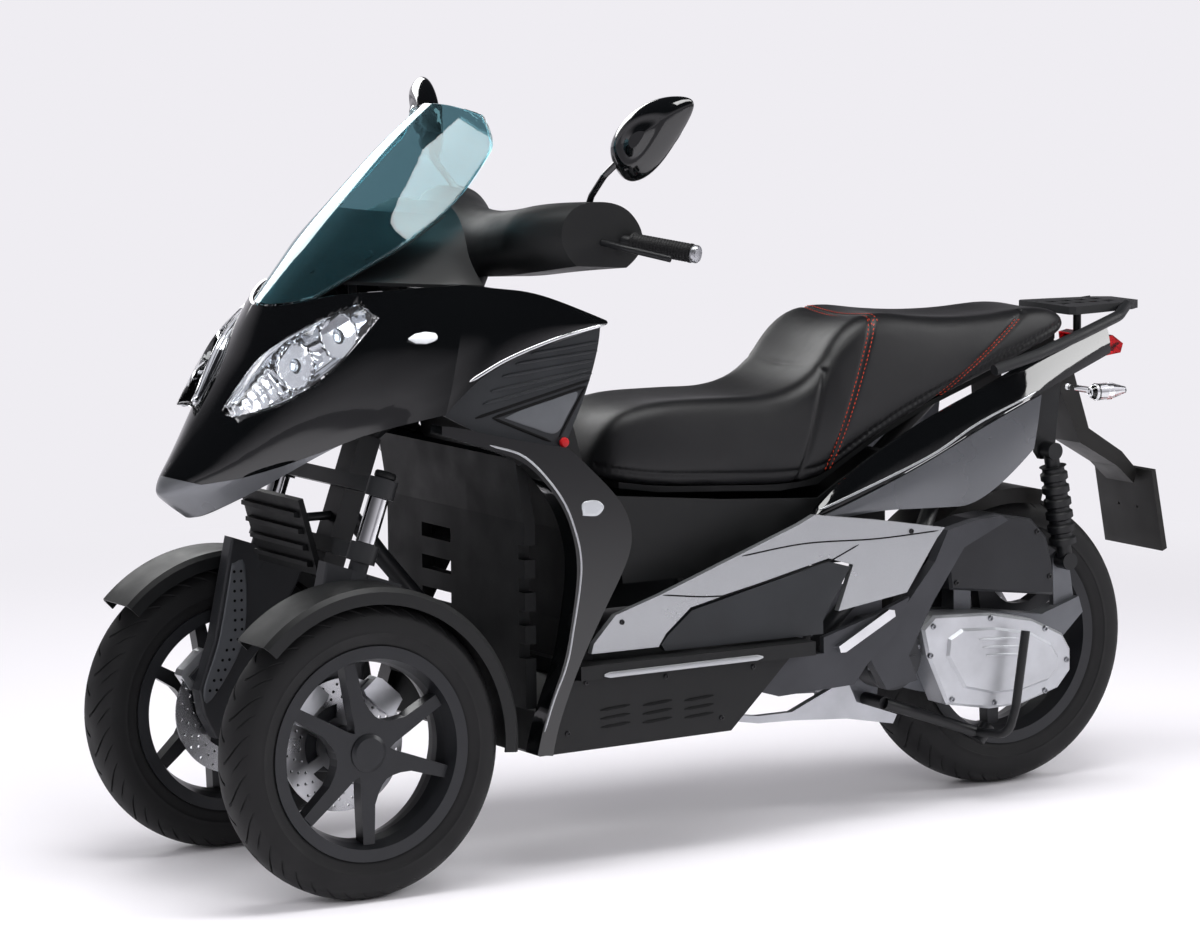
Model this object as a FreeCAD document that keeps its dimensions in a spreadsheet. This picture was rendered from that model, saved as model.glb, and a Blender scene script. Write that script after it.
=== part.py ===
# Reverse trike: a tilting three-wheeled scooter with two steered front wheels and one driven rear wheel.
# X points forward, Y to the rider's left and Z up. The origin is on the ground, at the middle of the length.
# Places on the bodywork are shares: setbacks behind the front axle in 1560ths of the wheelbase, where the last
# 410 of them and the tail keep their place on the rear wheel, sides in 300ths of the fairing's half width, and
# heights in 1000ths of the fairing's height.
import FreeCAD
import Part
import Sketcher
import math
import os

from FreeCAD import Placement
from FreeCAD import Rotation
from FreeCAD import Vector

WHEELBASE_SHARES = 1560
DRIVE_SHARES = 410
REAR_TYRE_SHARES = 288
SIDE_SHARES = 300
HEIGHT_SHARES = 1000

# Driving dimensions, in millimetres and degrees
SIZES = {
    "wheelbase": 1560,
    "tail_overhang": 366,
    "fairing_height": 1000,
    "fairing_half_width": 300,
    "front_track": 550,
    "front_tyre_radius": 266,
    "front_tyre_width": 110,
    "front_rim_radius": 178,
    "rear_tyre_radius": 288,
    "rear_tyre_width": 140,
    "rear_rim_radius": 190.5,
    "rim_flange": 14,
    "rim_wall": 8,
    "tyre_seat_gap": 0.3,
    "hub_radius": 34,
    "rear_hub_radius": 46,
    "hub_cap": 10,
    "axle_radius": 12,
    "running_gap": 0.05,
    "seat_gap": 0.3,
    "moving_gap": 6,
    "spoke_depth": 28,
    "spoke_offset": 22,
    "disc_offset": 62,
    "disc_radius": 120,
    "disc_inner_radius": 76,
    "disc_carrier_radius": 50,
    "disc_arm_width": 16,
    "disc_thickness": 4.5,
    "rear_disc_radius": 110,
    "rear_disc_offset": 78,
    "caliper_gap": 2.5,
    "caliper_length": 78,
    "caliper_height": 42,
    "caliper_cheek": 16,
    "caliper_reach": 112,
    "kingpin_inset": 85,
    "kingpin_lead": 60,
    "kingpin_angle": 19.5,
    "stanchion_radius": 17.5,
    "leg_half_thickness": 22,
    "ring_wall": 9,
    "ring_height": 34,
    "arm_depth": 34,
    "lower_arm_height": 356,
    "upper_arm_height": 476,
    "stanchion_top": 500,
    "collar_gap": 17,
    "collar_height": 41,
    "head_rise": 90,
    "fender_gap": 26,
    "hugger_gap": 12,
    "fender_wall": 4,
    "fender_skirt": 26,
    "fender_half_width": 58,
    "column_angle": 25,
    "column_radius": 14,
    "column_tube_wall": 9,
    "bar_radius": 11,
    "grip_radius": 16.5,
    "grip_length": 120,
    "mirror_stem_radius": 6,
    "panel_wall": 8,
    "screen_wall": 4,
    "plate_wall": 14,
    "frame_tube_radius": 16,
    "stay_radius": 8,
    "shock_eye_radius": 17,
    "spring_radius": 27,
    "damper_radius": 15,
    "spring_wire_radius": 5,
    "spring_turns": 6,
    "engine_half_width": 78,
    "case_side": 119,
    "rack_bolt_along": 110,
    "rack_bolt_across": 90,
    "rack_bolt_radius": 3.5,
    "rack_plate_thickness": 16,
    "plate_bolt_spacing": 60,
    "plate_bolt_radius": 3,
    "stand_pivot_radius": 13,
    "stand_tube_radius": 11,
    "box_wall": 6,
    "cover_step": 6,
    "overrun": 40,
}

doc = FreeCAD.newDocument("ReverseTrike")
sheet = doc.addObject("Spreadsheet::Sheet", "Sizes")
for row, (alias, number) in enumerate(SIZES.items(), start=1):
    sheet.set("A" + str(row), alias)
    sheet.set("B" + str(row), str(number))
    sheet.setAlias("B" + str(row), alias)
doc.recompute()


# A length with its value and the formula that binds it to the sheet
class Length:
    def __init__(self, value, formula):
        self.value = value
        self.formula = formula

    def __add__(self, other):
        other = length_of(other)
        return Length(self.value + other.value, "(" + self.formula + " + " + other.formula + ")")

    def __sub__(self, other):
        other = length_of(other)
        return Length(self.value - other.value, "(" + self.formula + " - " + other.formula + ")")

    def __mul__(self, share):
        return Length(self.value * share, "(" + self.formula + " * " + repr(share) + ")")

    def __neg__(self):
        return self * -1


def length_of(thing):
    return thing if isinstance(thing, Length) else Length(thing, repr(thing))


def cell(alias):
    return Length(float(sheet.get(alias)), "Sizes." + alias)


def size(alias):
    return float(sheet.get(alias))


wheelbase = cell("wheelbase")
front_axle = (wheelbase + cell("tail_overhang") - cell("front_tyre_radius")) * 0.5
rear_axle = front_axle - wheelbase


drive = cell("rear_tyre_radius") * (DRIVE_SHARES / REAR_TYRE_SHARES)
cabin = wheelbase - drive


def back(share):
    cabin_shares = WHEELBASE_SHARES - DRIVE_SHARES
    if share <= cabin_shares:
        return front_axle - cabin * (share / cabin_shares)
    return rear_axle - drive * ((share - WHEELBASE_SHARES) / DRIVE_SHARES)


def side(share):
    return cell("fairing_half_width") * (share / SIDE_SHARES)


def up(share):
    return cell("fairing_height") * (share / HEIGHT_SHARES)


def at(back_share, side_share, up_share):
    return Vector(back(back_share).value, side(side_share).value, up(up_share).value)


# Features of a body: sketches whose corners are bound to the sheet, then pads, pockets and revolutions
nodes = {}


def new_body(label):
    body = doc.addObject("PartDesign::Body", label)
    body.Label = label
    return body


def origin_part(body, role):
    return [item for item in body.Origin.OriginFeatures if item.Role == role][0]


def bind(item, path, length):
    item.setExpression(path, length.formula)


def sketch_of(body, role, corners, offset=None):
    sketch = body.newObject("Sketcher::SketchObject", body.Name + "Sketch")
    sketch.AttachmentSupport = (origin_part(body, role), [""])
    sketch.MapMode = "FlatFace"
    if offset is not None:
        sketch.AttachmentOffset = Placement(Vector(0, 0, offset.value), Rotation())
        bind(sketch, "AttachmentOffset.Base.z", offset)
    count = len(corners)
    for index, (across, along) in enumerate(corners):
        after = corners[(index + 1) % count]
        start = Vector(across.value, along.value, 0)
        end = Vector(after[0].value, after[1].value, 0)
        sketch.addGeometry(Part.LineSegment(start, end))
    for index in range(count):
        sketch.addConstraint(Sketcher.Constraint("Coincident", index, 2, (index + 1) % count, 1))
    for index, corner in enumerate(corners):
        for kind, length in zip(("DistanceX", "DistanceY"), corner):
            number = sketch.addConstraint(Sketcher.Constraint(kind, -1, 1, index, 1, length.value))
            sketch.setExpression("Constraints[" + str(number) + "]", length.formula)
    return sketch


def circle_sketch(body, role, across, along, radius, offset=None):
    sketch = body.newObject("Sketcher::SketchObject", body.Name + "Circle")
    sketch.AttachmentSupport = (origin_part(body, role), [""])
    sketch.MapMode = "FlatFace"
    if offset is not None:
        sketch.AttachmentOffset = Placement(Vector(0, 0, offset.value), Rotation())
        bind(sketch, "AttachmentOffset.Base.z", offset)
    sketch.addGeometry(Part.Circle(Vector(across.value, along.value, 0), Vector(0, 0, 1), radius.value))
    for kind, length in zip(("DistanceX", "DistanceY"), (across, along)):
        number = sketch.addConstraint(Sketcher.Constraint(kind, -1, 1, 0, 3, length.value))
        sketch.setExpression("Constraints[" + str(number) + "]", length.formula)
    number = sketch.addConstraint(Sketcher.Constraint("Radius", 0, radius.value))
    sketch.setExpression("Constraints[" + str(number) + "]", radius.formula)
    return sketch


def pad(body, sketch, depth, midplane=True, reverse=False):
    feature = body.newObject("PartDesign::Pad", body.Name + "Pad")
    feature.Profile = sketch
    feature.Length = depth.value
    bind(feature, "Length", depth)
    feature.Midplane = midplane
    feature.Reversed = reverse
    body.Tip = feature
    return feature


def pocket(body, sketch, depth, midplane=True, reverse=False):
    feature = body.newObject("PartDesign::Pocket", body.Name + "Pocket")
    feature.Profile = sketch
    feature.Length = depth.value
    bind(feature, "Length", depth)
    feature.Midplane = midplane
    feature.Reversed = reverse
    body.Tip = feature
    return feature


def revolution(body, sketch, axis):
    feature = body.newObject("PartDesign::Revolution", body.Name + "Revolution")
    feature.Profile = sketch
    feature.ReferenceAxis = (sketch, [axis])
    feature.Angle = 360
    body.Tip = feature
    return feature


def polar_pattern(body, feature, role, count):
    pattern = body.newObject("PartDesign::PolarPattern", body.Name + "Pattern")
    pattern.Originals = [feature]
    pattern.Axis = (origin_part(body, role), [""])
    pattern.Angle = 360
    pattern.Occurrences = count
    body.Tip = pattern
    return pattern


STEP_TAPER = -40


def flat(shares):
    return [(back(back_share), up(up_share)) for back_share, up_share in shares]


def keep(label, item):
    item.Label = label
    nodes[label] = item
    return item


# A plate with an outline in the side view, between two distances from the middle plane
def side_plate(label, shares, inner, outer):
    body = new_body(label)
    sketch = sketch_of(body, "XZ_Plane", flat(shares), inner * -1)
    pad(body, sketch, outer - inner, midplane=False, reverse=True)
    return body


# A step on a plate's outer face, whose edge slopes in
def raised(body, shares, face, height):
    outline = sketch_of(body, "XZ_Plane", flat(shares), face * -1)
    step = pad(body, outline, height, midplane=False, reverse=True)
    step.TaperAngle = STEP_TAPER
    return step


# A profile in the side view carried across the whole width
def cross_prism(label, shares, half_width):
    body = new_body(label)
    pad(body, sketch_of(body, "XZ_Plane", flat(shares)), half_width * 2)
    return body


def both_sides(label, left):
    left.Label = label + "_left"
    right = doc.addObject("Part::Mirroring", label + "Right")
    right.Source = left
    right.Normal = Vector(0, 1, 0)
    pair = doc.addObject("Part::Compound", label + "Pair")
    pair.Links = [left, right]
    return keep(label, pair)


def feature(label, shape, spot=None):
    item = doc.addObject("Part::Feature", label)
    item.Shape = shape
    if spot is not None:
        item.Placement = spot
    return keep(label, item)


# Shapes that Part's own functions make
def mirror(shape):
    return shape.mirror(Vector(0, 0, 0), Vector(0, 1, 0))


def spline_surface(rows):
    def knots_of(count, degree):
        spans = count - degree
        return list(range(spans + 1)), [degree + 1] + [1] * (spans - 1) + [degree + 1]

    down = min(2, len(rows) - 1)
    across = min(2, len(rows[0]) - 1)
    knots_down, mults_down = knots_of(len(rows), down)
    knots_across, mults_across = knots_of(len(rows[0]), across)
    surface = Part.BSplineSurface()
    surface.buildFromPolesMultsKnots(rows, mults_down, mults_across, knots_down, knots_across,
                                     False, False, down, across)
    return surface.toShape()


# Panels get their wall towards the core of the vehicle, so that neighbours share the faces where they meet
def inward(point):
    core = min(point.x, back(0).value)
    direction = Vector(core - point.x, -point.y, 0)
    if direction.Length == 0:
        return Vector(0, 0, -1)
    return direction.normalize()


def walled(rows, wall, direction=inward):
    inner = [[point + direction(point) * wall for point in row] for row in rows]
    edges = [
        (rows[0], inner[0]),
        (rows[-1], inner[-1]),
        ([row[0] for row in rows], [row[0] for row in inner]),
        ([row[-1] for row in rows], [row[-1] for row in inner]),
    ]
    faces = [spline_surface(rows), spline_surface(inner)]
    faces += [spline_surface([list(outer_edge), list(inner_edge)]) for outer_edge, inner_edge in edges]
    shell = Part.makeShell(faces)
    shell.sewShape()
    solid = Part.makeSolid(Part.Shell(shell.Faces))
    if solid.Volume < 0:
        solid.reverse()
    return solid


# A solid under a surface whose cross rows are flat: the surface, its flat foot and an end at each side
def closed_by(rows):
    upper = spline_surface(rows)
    lower = spline_surface([[row[0], row[-1]] for row in rows])
    ends = []
    for row in (rows[0], rows[-1]):
        edge = min(upper.Edges, key=lambda edge: (edge.valueAt(edge.FirstParameter) - row[0]).Length
                   + (edge.valueAt(edge.LastParameter) - row[-1]).Length)
        ends.append(Part.Face(Part.Wire([edge, Part.LineSegment(row[0], row[-1]).toShape()])))
    shell = Part.makeShell([upper, lower] + ends)
    shell.sewShape()
    solid = Part.makeSolid(Part.Shell(shell.Faces))
    if solid.Volume < 0:
        solid.reverse()
    return solid


def between(first, last, crown, steps=4):
    rows = []
    for step in range(steps + 1):
        share = step / steps
        bulge = crown * (4 * share * (1 - share))
        rows.append([start * (1 - share) + end * share + bulge for start, end in zip(first, last)])
    return rows


def points(shares):
    return [at(*share) for share in shares]


def across_row(half):
    return [Vector(point.x, -point.y, point.z) for point in reversed(half[1:])] + half


# A path of straight runs joined by tangent arcs
def bent_path(corners, bend):
    edges = []
    start = corners[0]
    for before, corner, after in zip(corners, corners[1:], corners[2:]):
        towards = (before - corner).normalize()
        away = (after - corner).normalize()
        turn = math.pi - towards.getAngle(away)
        setoff = min(bend * math.tan(turn / 2), 0.45 * min((before - corner).Length, (after - corner).Length))
        if setoff <= 0:
            continue
        first = corner + towards * setoff
        last = corner + away * setoff
        radius = setoff / math.tan(turn / 2)
        centre = corner + (towards + away).normalize() * (radius / math.cos(turn / 2))
        middle = centre + (corner - centre).normalize() * radius
        edges.append(Part.LineSegment(start, first).toShape())
        edges.append(Part.Arc(first, middle, last).toShape())
        start = last
    edges.append(Part.LineSegment(start, corners[-1]).toShape())
    return Part.Wire(edges)


def tube(corners, radius, bend):
    path = bent_path(corners, bend)
    heading = (corners[1] - corners[0]).normalize()
    ring = Part.Wire([Part.makeCircle(radius, corners[0], heading)])
    return Part.Wire(path).makePipeShell([ring], True, False)


def rod(start, end, radius):
    return Part.makeCylinder(radius, (end - start).Length, start, (end - start))


def fused(shapes):
    whole = shapes[0].multiFuse(shapes[1:]) if len(shapes) > 1 else shapes[0]
    whole = whole.removeSplitter()
    return whole.Solids[0] if len(whole.Solids) == 1 else whole


# A stay runs from its carrier up to the face of the piece that it holds, and stops a seat's gap short
def stay(start, towards, target, radius=None):
    radius = size("stay_radius") if radius is None else radius
    heading = (towards - start).normalize()
    whole = rod(start, towards, radius)
    left = whole.cut(target)
    piece = min(left.Solids, key=lambda solid: solid.distToShape(Part.Vertex(start))[0])
    piece.translate(heading * -size("seat_gap"))
    return piece


def box_between(low, high):
    return Part.makeBox(high.x - low.x, high.y - low.y, high.z - low.z, low)


# The outline of a plate in the side view, for Part's own functions: curved runs that meet at corners
def outline_face(runs, side_value):
    edges = []
    for run in runs:
        corners = [Vector(back(b).value, side_value, up(u).value) for b, u in run]
        if len(corners) == 2:
            edges.append(Part.LineSegment(corners[0], corners[1]).toShape())
        else:
            curve = Part.BSplineCurve()
            degree = 2
            spans = len(corners) - degree
            knots = list(range(spans + 1))
            mults = [degree + 1] + [1] * (spans - 1) + [degree + 1]
            curve.buildFromPolesMultsKnots(corners, mults, knots, False, degree)
            edges.append(curve.toShape())
    return Part.Face(Part.Wire(edges))


def outline_plate(runs, inner, outer):
    return outline_face(runs, inner).extrude(Vector(0, outer - inner, 0))


def side_face(shares, side_value):
    ring = [Vector(back(b).value, side_value, up(u).value) for b, u in shares]
    return Part.Face(Part.makePolygon(ring + ring[:1]))


def prism(shares, inner, outer):
    return side_face(shares, inner).extrude(Vector(0, outer - inner, 0))


# Wheels: tyres, rims and discs, each made about its own axle and placed on it
def wheel_spot(item, axle, side_length, height_length):
    item.Placement = Placement(Vector(axle.value, side_length.value, height_length.value), Rotation())
    bind(item, "Placement.Base.x", axle)
    bind(item, "Placement.Base.y", side_length)
    bind(item, "Placement.Base.z", height_length)


def make_tyre(label, radius, width, rim_radius):
    body = new_body(label)
    bead = width * 0.42
    half = width * 0.5
    wall = radius - rim_radius
    corners = [
        (rim_radius, -bead),
        (rim_radius + wall * 0.22, -bead),
        (rim_radius + wall * 0.5, -half),
        (rim_radius + wall * 0.74, -(half * 0.97)),
        (radius - wall * 0.1, -(half * 0.74)),
        (radius - wall * 0.02, -(half * 0.38)),
        (radius, -(half * 0.12)),
    ]
    corners += [(reach, -across) for reach, across in reversed(corners)]
    revolution(body, sketch_of(body, "XY_Plane", corners), "V_Axis")
    return keep(label, body)


# The six spokes stand in three pairs: corners of half a pair from its fork, round a spoke's end, to the web
# between two pairs, each as a share of the way from hub to rim and degrees from the pair's middle
SPOKE_PAIRS = 3
PAIR_SHARES = [(0.08, 0), (0.17, 8), (0.31, 12.2), (0.45, 14.8), (0.99, 19.8), (0.99, 27.6), (0.46, 31.5),
               (0.32, 39), (0.24, 49), (0.21, 60.5)]
PAIR_TURN = 36
HUB_SHARE = 0.92


def make_rim(label, rim_radius, tyre_width, hub_radius, hub_inner, inner_sign, capped, spoke_centre):
    body = new_body(label)
    seat = rim_radius - cell("tyre_seat_gap")
    half = tyre_width * 0.42 + cell("tyre_seat_gap")
    lip = half + cell("rim_wall") * 0.7
    well = seat - cell("rim_wall")
    flange = rim_radius + cell("rim_flange")
    ring = [
        (well, -lip),
        (flange, -lip),
        (flange, -half),
        (seat, -half),
        (seat, half),
        (flange, half),
        (flange, lip),
        (well, lip),
        (well - cell("rim_wall"), half * 0.5),
        (well - cell("rim_wall") * 1.5, length_of(0)),
        (well - cell("rim_wall"), half * -0.5),
    ]
    revolution(body, sketch_of(body, "XY_Plane", ring), "V_Axis")
    hub_outer = half * HUB_SHARE
    bore = cell("axle_radius") + cell("running_gap")
    inner_end = hub_inner * inner_sign
    outer_end = hub_outer * -inner_sign
    cap_end = (hub_outer - cell("hub_cap")) * -inner_sign if capped else outer_end
    hub = [(bore, inner_end), (hub_radius, inner_end), (hub_radius, outer_end * 0.9)]
    hub += [(hub_radius * 0.8, outer_end)]
    if capped:
        hub += [(length_of(0), outer_end), (length_of(0), cap_end), (bore, cap_end)]
    else:
        hub.append((bore, outer_end))
    revolution(body, sketch_of(body, "XY_Plane", hub), "V_Axis")
    run = well - cell("rim_wall") * 0.5 - hub_radius
    pair = []
    for hand in (1, -1):
        half_pair = []
        for share, degrees in PAIR_SHARES:
            turn = math.radians(PAIR_TURN + hand * degrees)
            reach = hub_radius + run * share
            half_pair.append((reach * math.sin(turn), reach * math.cos(turn)))
        pair += half_pair if hand == 1 else half_pair[:0:-1]
    # The pair's foot lies inside the hub
    turns = (math.radians(PAIR_TURN + hand * PAIR_SHARES[-1][1]) for hand in (1, -1))
    feet = [(hub_radius * 0.9 * math.sin(turn), hub_radius * 0.9 * math.cos(turn)) for turn in turns]
    pair = pair[:len(PAIR_SHARES)] + feet + pair[len(PAIR_SHARES):]
    arms = pad(body, sketch_of(body, "XZ_Plane", pair, spoke_centre * -1), cell("spoke_depth"))
    polar_pattern(body, arms, "Y_Axis", SPOKE_PAIRS)
    return keep(label, body)


DISC_ARMS = 6


def make_disc(label, radius, inner_radius, offset, bore):
    body = new_body(label)
    half = cell("disc_thickness") * 0.5
    ring = [(inner_radius, offset - half), (radius, offset - half), (radius, offset + half),
            (inner_radius, offset + half)]
    revolution(body, sketch_of(body, "XY_Plane", ring), "V_Axis")
    carrier = cell("disc_carrier_radius")
    centre = [(bore, offset - half), (carrier, offset - half), (carrier, offset + half), (bore, offset + half)]
    revolution(body, sketch_of(body, "XY_Plane", centre), "V_Axis")
    width = cell("disc_arm_width") * 0.5
    arm = [(-width, carrier * 0.9), (width, carrier * 0.9), (width, inner_radius * 1.03),
           (-width, inner_radius * 1.03)]
    spoke = pad(body, sketch_of(body, "XZ_Plane", arm, offset * -1), cell("disc_thickness"))
    polar_pattern(body, spoke, "Y_Axis", DISC_ARMS)
    return keep(label, body)


front_rim = cell("front_rim_radius")
rear_rim = cell("rear_rim_radius")
front_height = cell("front_tyre_radius")
rear_height = cell("rear_tyre_radius")
half_track = cell("front_track") * 0.5
disc_bore = cell("axle_radius") + cell("stay_radius") * 0.5
for name, sign in (("left", 1), ("right", -1)):
    tyre = make_tyre("front_tyre_" + name, front_height, cell("front_tyre_width"), front_rim)
    hub_reach = cell("disc_offset") - cell("disc_thickness") * 0.5
    rim = make_rim("front_rim_" + name, front_rim, cell("front_tyre_width"), cell("hub_radius"),
                   hub_reach, -sign, True, cell("spoke_offset") * sign)
    disc = make_disc("front_disc_" + name, cell("disc_radius"), cell("disc_inner_radius"),
                     cell("disc_offset") * -sign, disc_bore)
    for item in (tyre, rim, disc):
        wheel_spot(item, front_axle, half_track * sign, front_height)
rear_tyre = make_tyre("rear_tyre", rear_height, cell("rear_tyre_width"), rear_rim)
rear_hub = cell("rear_disc_offset") - cell("disc_thickness") * 0.5
rear_rim_body = make_rim("rear_rim", rear_rim, cell("rear_tyre_width"), cell("rear_hub_radius"),
                         rear_hub, -1, False, length_of(0))
rear_disc = make_disc("rear_disc", cell("rear_disc_radius"), cell("disc_inner_radius"),
                      cell("rear_disc_offset") * -1, disc_bore)
for item in (rear_tyre, rear_rim_body, rear_disc):
    wheel_spot(item, rear_axle, length_of(0), rear_height)

# Steering knuckles: each fork leg stands on its kingpin axis, which leans back from ahead of the axle
TYRE_SHARES = 266
front_x = front_axle.value
axle_z = front_height.value
track_y = half_track.value
kingpin_y = track_y - size("kingpin_inset")
disc_y = track_y - size("disc_offset")
disc_half = size("disc_thickness") * 0.5
leg_outer = disc_y - disc_half - size("moving_gap")
leg_inner = kingpin_y - size("leg_half_thickness")
raked = Placement(Vector(front_x + size("kingpin_lead"), 0, axle_z),
                  Rotation(Vector(0, 1, 0), -size("kingpin_angle")))

# Corners of the leg's casting: forward of the axle and up, in 266ths of the tyre's radius. Its top is trimmed
# square to the kingpin, under the lower arm.
LEG_SHARES = [(16, 610), (-158, 610), (-116, 500), (-50, 400), (-54, 300), (-46, 240), (0, 214), (60, 222),
              (84, 268), (93, 315), (60, 405)]
FENDER_BOSS_SHARE = -110
collar_top = size("lower_arm_height") - size("ring_height") * 0.5 - size("collar_gap")
collar_foot = collar_top - size("collar_height")
CALIPER_ANGLES = (48, 132)
CALIPER_SHARES = [(-1, 0.1), (-0.77, 0), (0.77, 0), (1, 0.1), (0.87, 0.9), (0.6, 1), (-0.6, 1), (-0.87, 0.9)]
CALIPER_LUG_SHARES = (0.35, 1.05)


def at_axle(forward_share, side_length, up_share):
    scale = axle_z / TYRE_SHARES
    return Vector(front_x + forward_share * scale, side_length, up_share * scale)


def axle_face(corners, side_length):
    ring = [Vector(front_x + x, side_length, axle_z + z) for x, z in corners]
    return Part.Face(Part.makePolygon(ring + ring[:1]))


def turned(corners, angle):
    outward = (math.cos(math.radians(angle)), math.sin(math.radians(angle)))
    along = (-outward[1], outward[0])
    return [(outward[0] * reach + along[0] * shift, outward[1] * reach + along[1] * shift)
            for shift, reach in corners]


def make_leg():
    outline = [at_axle(forward, leg_inner, rise) for forward, rise in LEG_SHARES]
    casting = Part.Face(Part.makePolygon(outline + outline[:1])).extrude(Vector(0, leg_outer - leg_inner, 0))
    casting = casting.makeFillet(size("ring_wall") * 0.6, [edge for edge in casting.Edges
                                                           if edge.Length > size("ring_height")
                                                           and edge.BoundBox.YLength < size("running_gap")])
    wide = size("front_tyre_radius")
    above = box_between(Vector(-wide, 0, collar_top), Vector(wide, wide, collar_top + wide))
    above.Placement = raked
    casting = casting.cut(above)
    tall = size("stanchion_top") - collar_foot
    stanchion = Part.makeCylinder(size("stanchion_radius"), tall, Vector(0, kingpin_y, collar_foot))
    collar = Part.makeCylinder(size("stanchion_radius") * 1.3, size("collar_height"),
                               Vector(0, kingpin_y, collar_foot))
    upright = stanchion.fuse(collar)
    upright.Placement = raked
    bead = size("front_tyre_width") * 0.42 + size("tyre_seat_gap")
    axle_end = track_y + bead * HUB_SHARE - size("hub_cap") - size("moving_gap") * 0.5
    axle = Part.makeCylinder(size("axle_radius"), axle_end - kingpin_y, Vector(front_x, kingpin_y, axle_z),
                             Vector(0, 1, 0))
    parts = [casting, upright, axle]
    for angle in CALIPER_ANGLES:
        width = size("caliper_length") * 0.32
        near, far = (share * size("caliper_reach") for share in CALIPER_LUG_SHARES)
        corners = turned([(-width, near), (width, near), (width, far), (-width, far)], angle)
        parts.append(axle_face(corners, leg_outer - size("ring_wall")).extrude(Vector(0, size("ring_wall"), 0)))
    fender_x = front_x + axle_z * (FENDER_BOSS_SHARE / TYRE_SHARES)
    boss_reach = axle_z + size("fender_gap") - size("fender_skirt") * 0.5
    boss_z = axle_z + math.sqrt(boss_reach ** 2 - (fender_x - front_x) ** 2)
    skirt = track_y - size("fender_half_width") - size("seat_gap")
    parts.append(rod(Vector(fender_x, kingpin_y, boss_z), Vector(fender_x, skirt, boss_z), size("ring_wall")))
    return fused(parts)


def make_calipers():
    half_length = size("caliper_length") * 0.5
    foot = size("caliper_reach") - size("caliper_height") * 0.5
    inner = leg_outer + size("seat_gap")
    outer = disc_y + disc_half + size("caliper_gap") + size("caliper_cheek")
    slot_inner = disc_y - disc_half - size("caliper_gap")
    slot_width = (disc_half + size("caliper_gap")) * 2
    slot = Part.makeCylinder(size("disc_radius") + size("moving_gap"), slot_width,
                             Vector(front_x, slot_inner, axle_z), Vector(0, 1, 0))
    blocks = []
    outline = [(x * half_length, foot + z * size("caliper_height")) for x, z in CALIPER_SHARES]
    for angle in CALIPER_ANGLES:
        corners = turned(outline, angle)
        blocks.append(axle_face(corners, inner).extrude(Vector(0, outer - inner, 0)).cut(slot))
    return Part.makeCompound(blocks)


FENDER_START = 45
FENDER_SWEEP = 140


def make_fender():
    inner = axle_z + size("fender_gap")
    outer = inner + size("fender_wall")
    foot = inner - size("fender_skirt")
    half = size("fender_half_width")
    web = half - size("fender_wall")
    soft = size("fender_wall") * 2
    profile = [(foot, -half), (outer - soft, -half), (outer, -half + soft), (outer, half - soft),
               (outer - soft, half), (foot, half), (foot, web), (inner - soft, web), (inner, web - soft),
               (inner, soft - web), (inner - soft, -web), (foot, -web)]
    ring = [Vector(reach, across, 0) for reach, across in profile]
    face = Part.Face(Part.makePolygon(ring + ring[:1]))
    face.rotate(Vector(0, 0, 0), Vector(0, -1, 0), FENDER_START)
    shell = face.revolve(Vector(0, 0, 0), Vector(0, -1, 0), FENDER_SWEEP)
    shell.translate(Vector(front_x, track_y, axle_z))
    return shell


for label, shape in (("fork_leg", make_leg()), ("calipers", make_calipers()), ("front_fender", make_fender())):
    feature(label + "_left", shape)
    feature(label + "_right", mirror(shape))


# Two transverse arms carry the stanchions in their bearing rings
def make_arms():
    depth = size("arm_depth") * 0.5
    half = size("ring_height") * 0.5
    web = half * 0.8
    bore = size("stanchion_radius") + size("running_gap")
    arms = []
    for level in (size("lower_arm_height"), size("upper_arm_height")):
        beam = box_between(Vector(-depth, -kingpin_y, level - web), Vector(depth, kingpin_y, level + web))
        rings = [Part.makeCylinder(bore + size("ring_wall"), half * 2, Vector(0, spot, level - half))
                 for spot in (-kingpin_y, kingpin_y)]
        bores = [Part.makeCylinder(bore, half * 4, Vector(0, spot, level - half * 2))
                 for spot in (-kingpin_y, kingpin_y)]
        arm = beam.multiFuse(rings).cut(Part.makeCompound(bores))
        arm.Placement = raked
        arms.append(arm)
    return Part.makeCompound(arms)


feature("front_arms", make_arms())


def about_axle(shares):
    return [(front_axle + front_height * (forward / TYRE_SHARES), front_height * (rise / TYRE_SHARES))
            for forward, rise in shares]


# Linkage cover: the ribbed panel between the fork legs, in front of the arms
LINKAGE_SHARES = [(-8, 556), (30, 694), (20, 697), (-18, 560)]
LINKAGE_HALF_SHARES = (116, 104)
RIB_SHARES = [(-2, 0), (12, 2), (12, 10), (1, 12)]
RIB_LEVELS = (0.1, 0.32, 0.54, 0.76)
linkage = new_body("linkage_cover")
pad(linkage, sketch_of(linkage, "XZ_Plane", about_axle(LINKAGE_SHARES)), side(LINKAGE_HALF_SHARES[0]) * 2)
for level in RIB_LEVELS:
    (low_x, low_z), (high_x, high_z) = LINKAGE_SHARES[:2]
    foot_x = low_x + (high_x - low_x) * level
    foot_z = low_z + (high_z - low_z) * level
    rib = [(foot_x + forward, foot_z + rise) for forward, rise in RIB_SHARES]
    pad(linkage, sketch_of(linkage, "XZ_Plane", about_axle(rib)), side(LINKAGE_HALF_SHARES[1]) * 2)
keep("linkage_cover", linkage)

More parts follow.
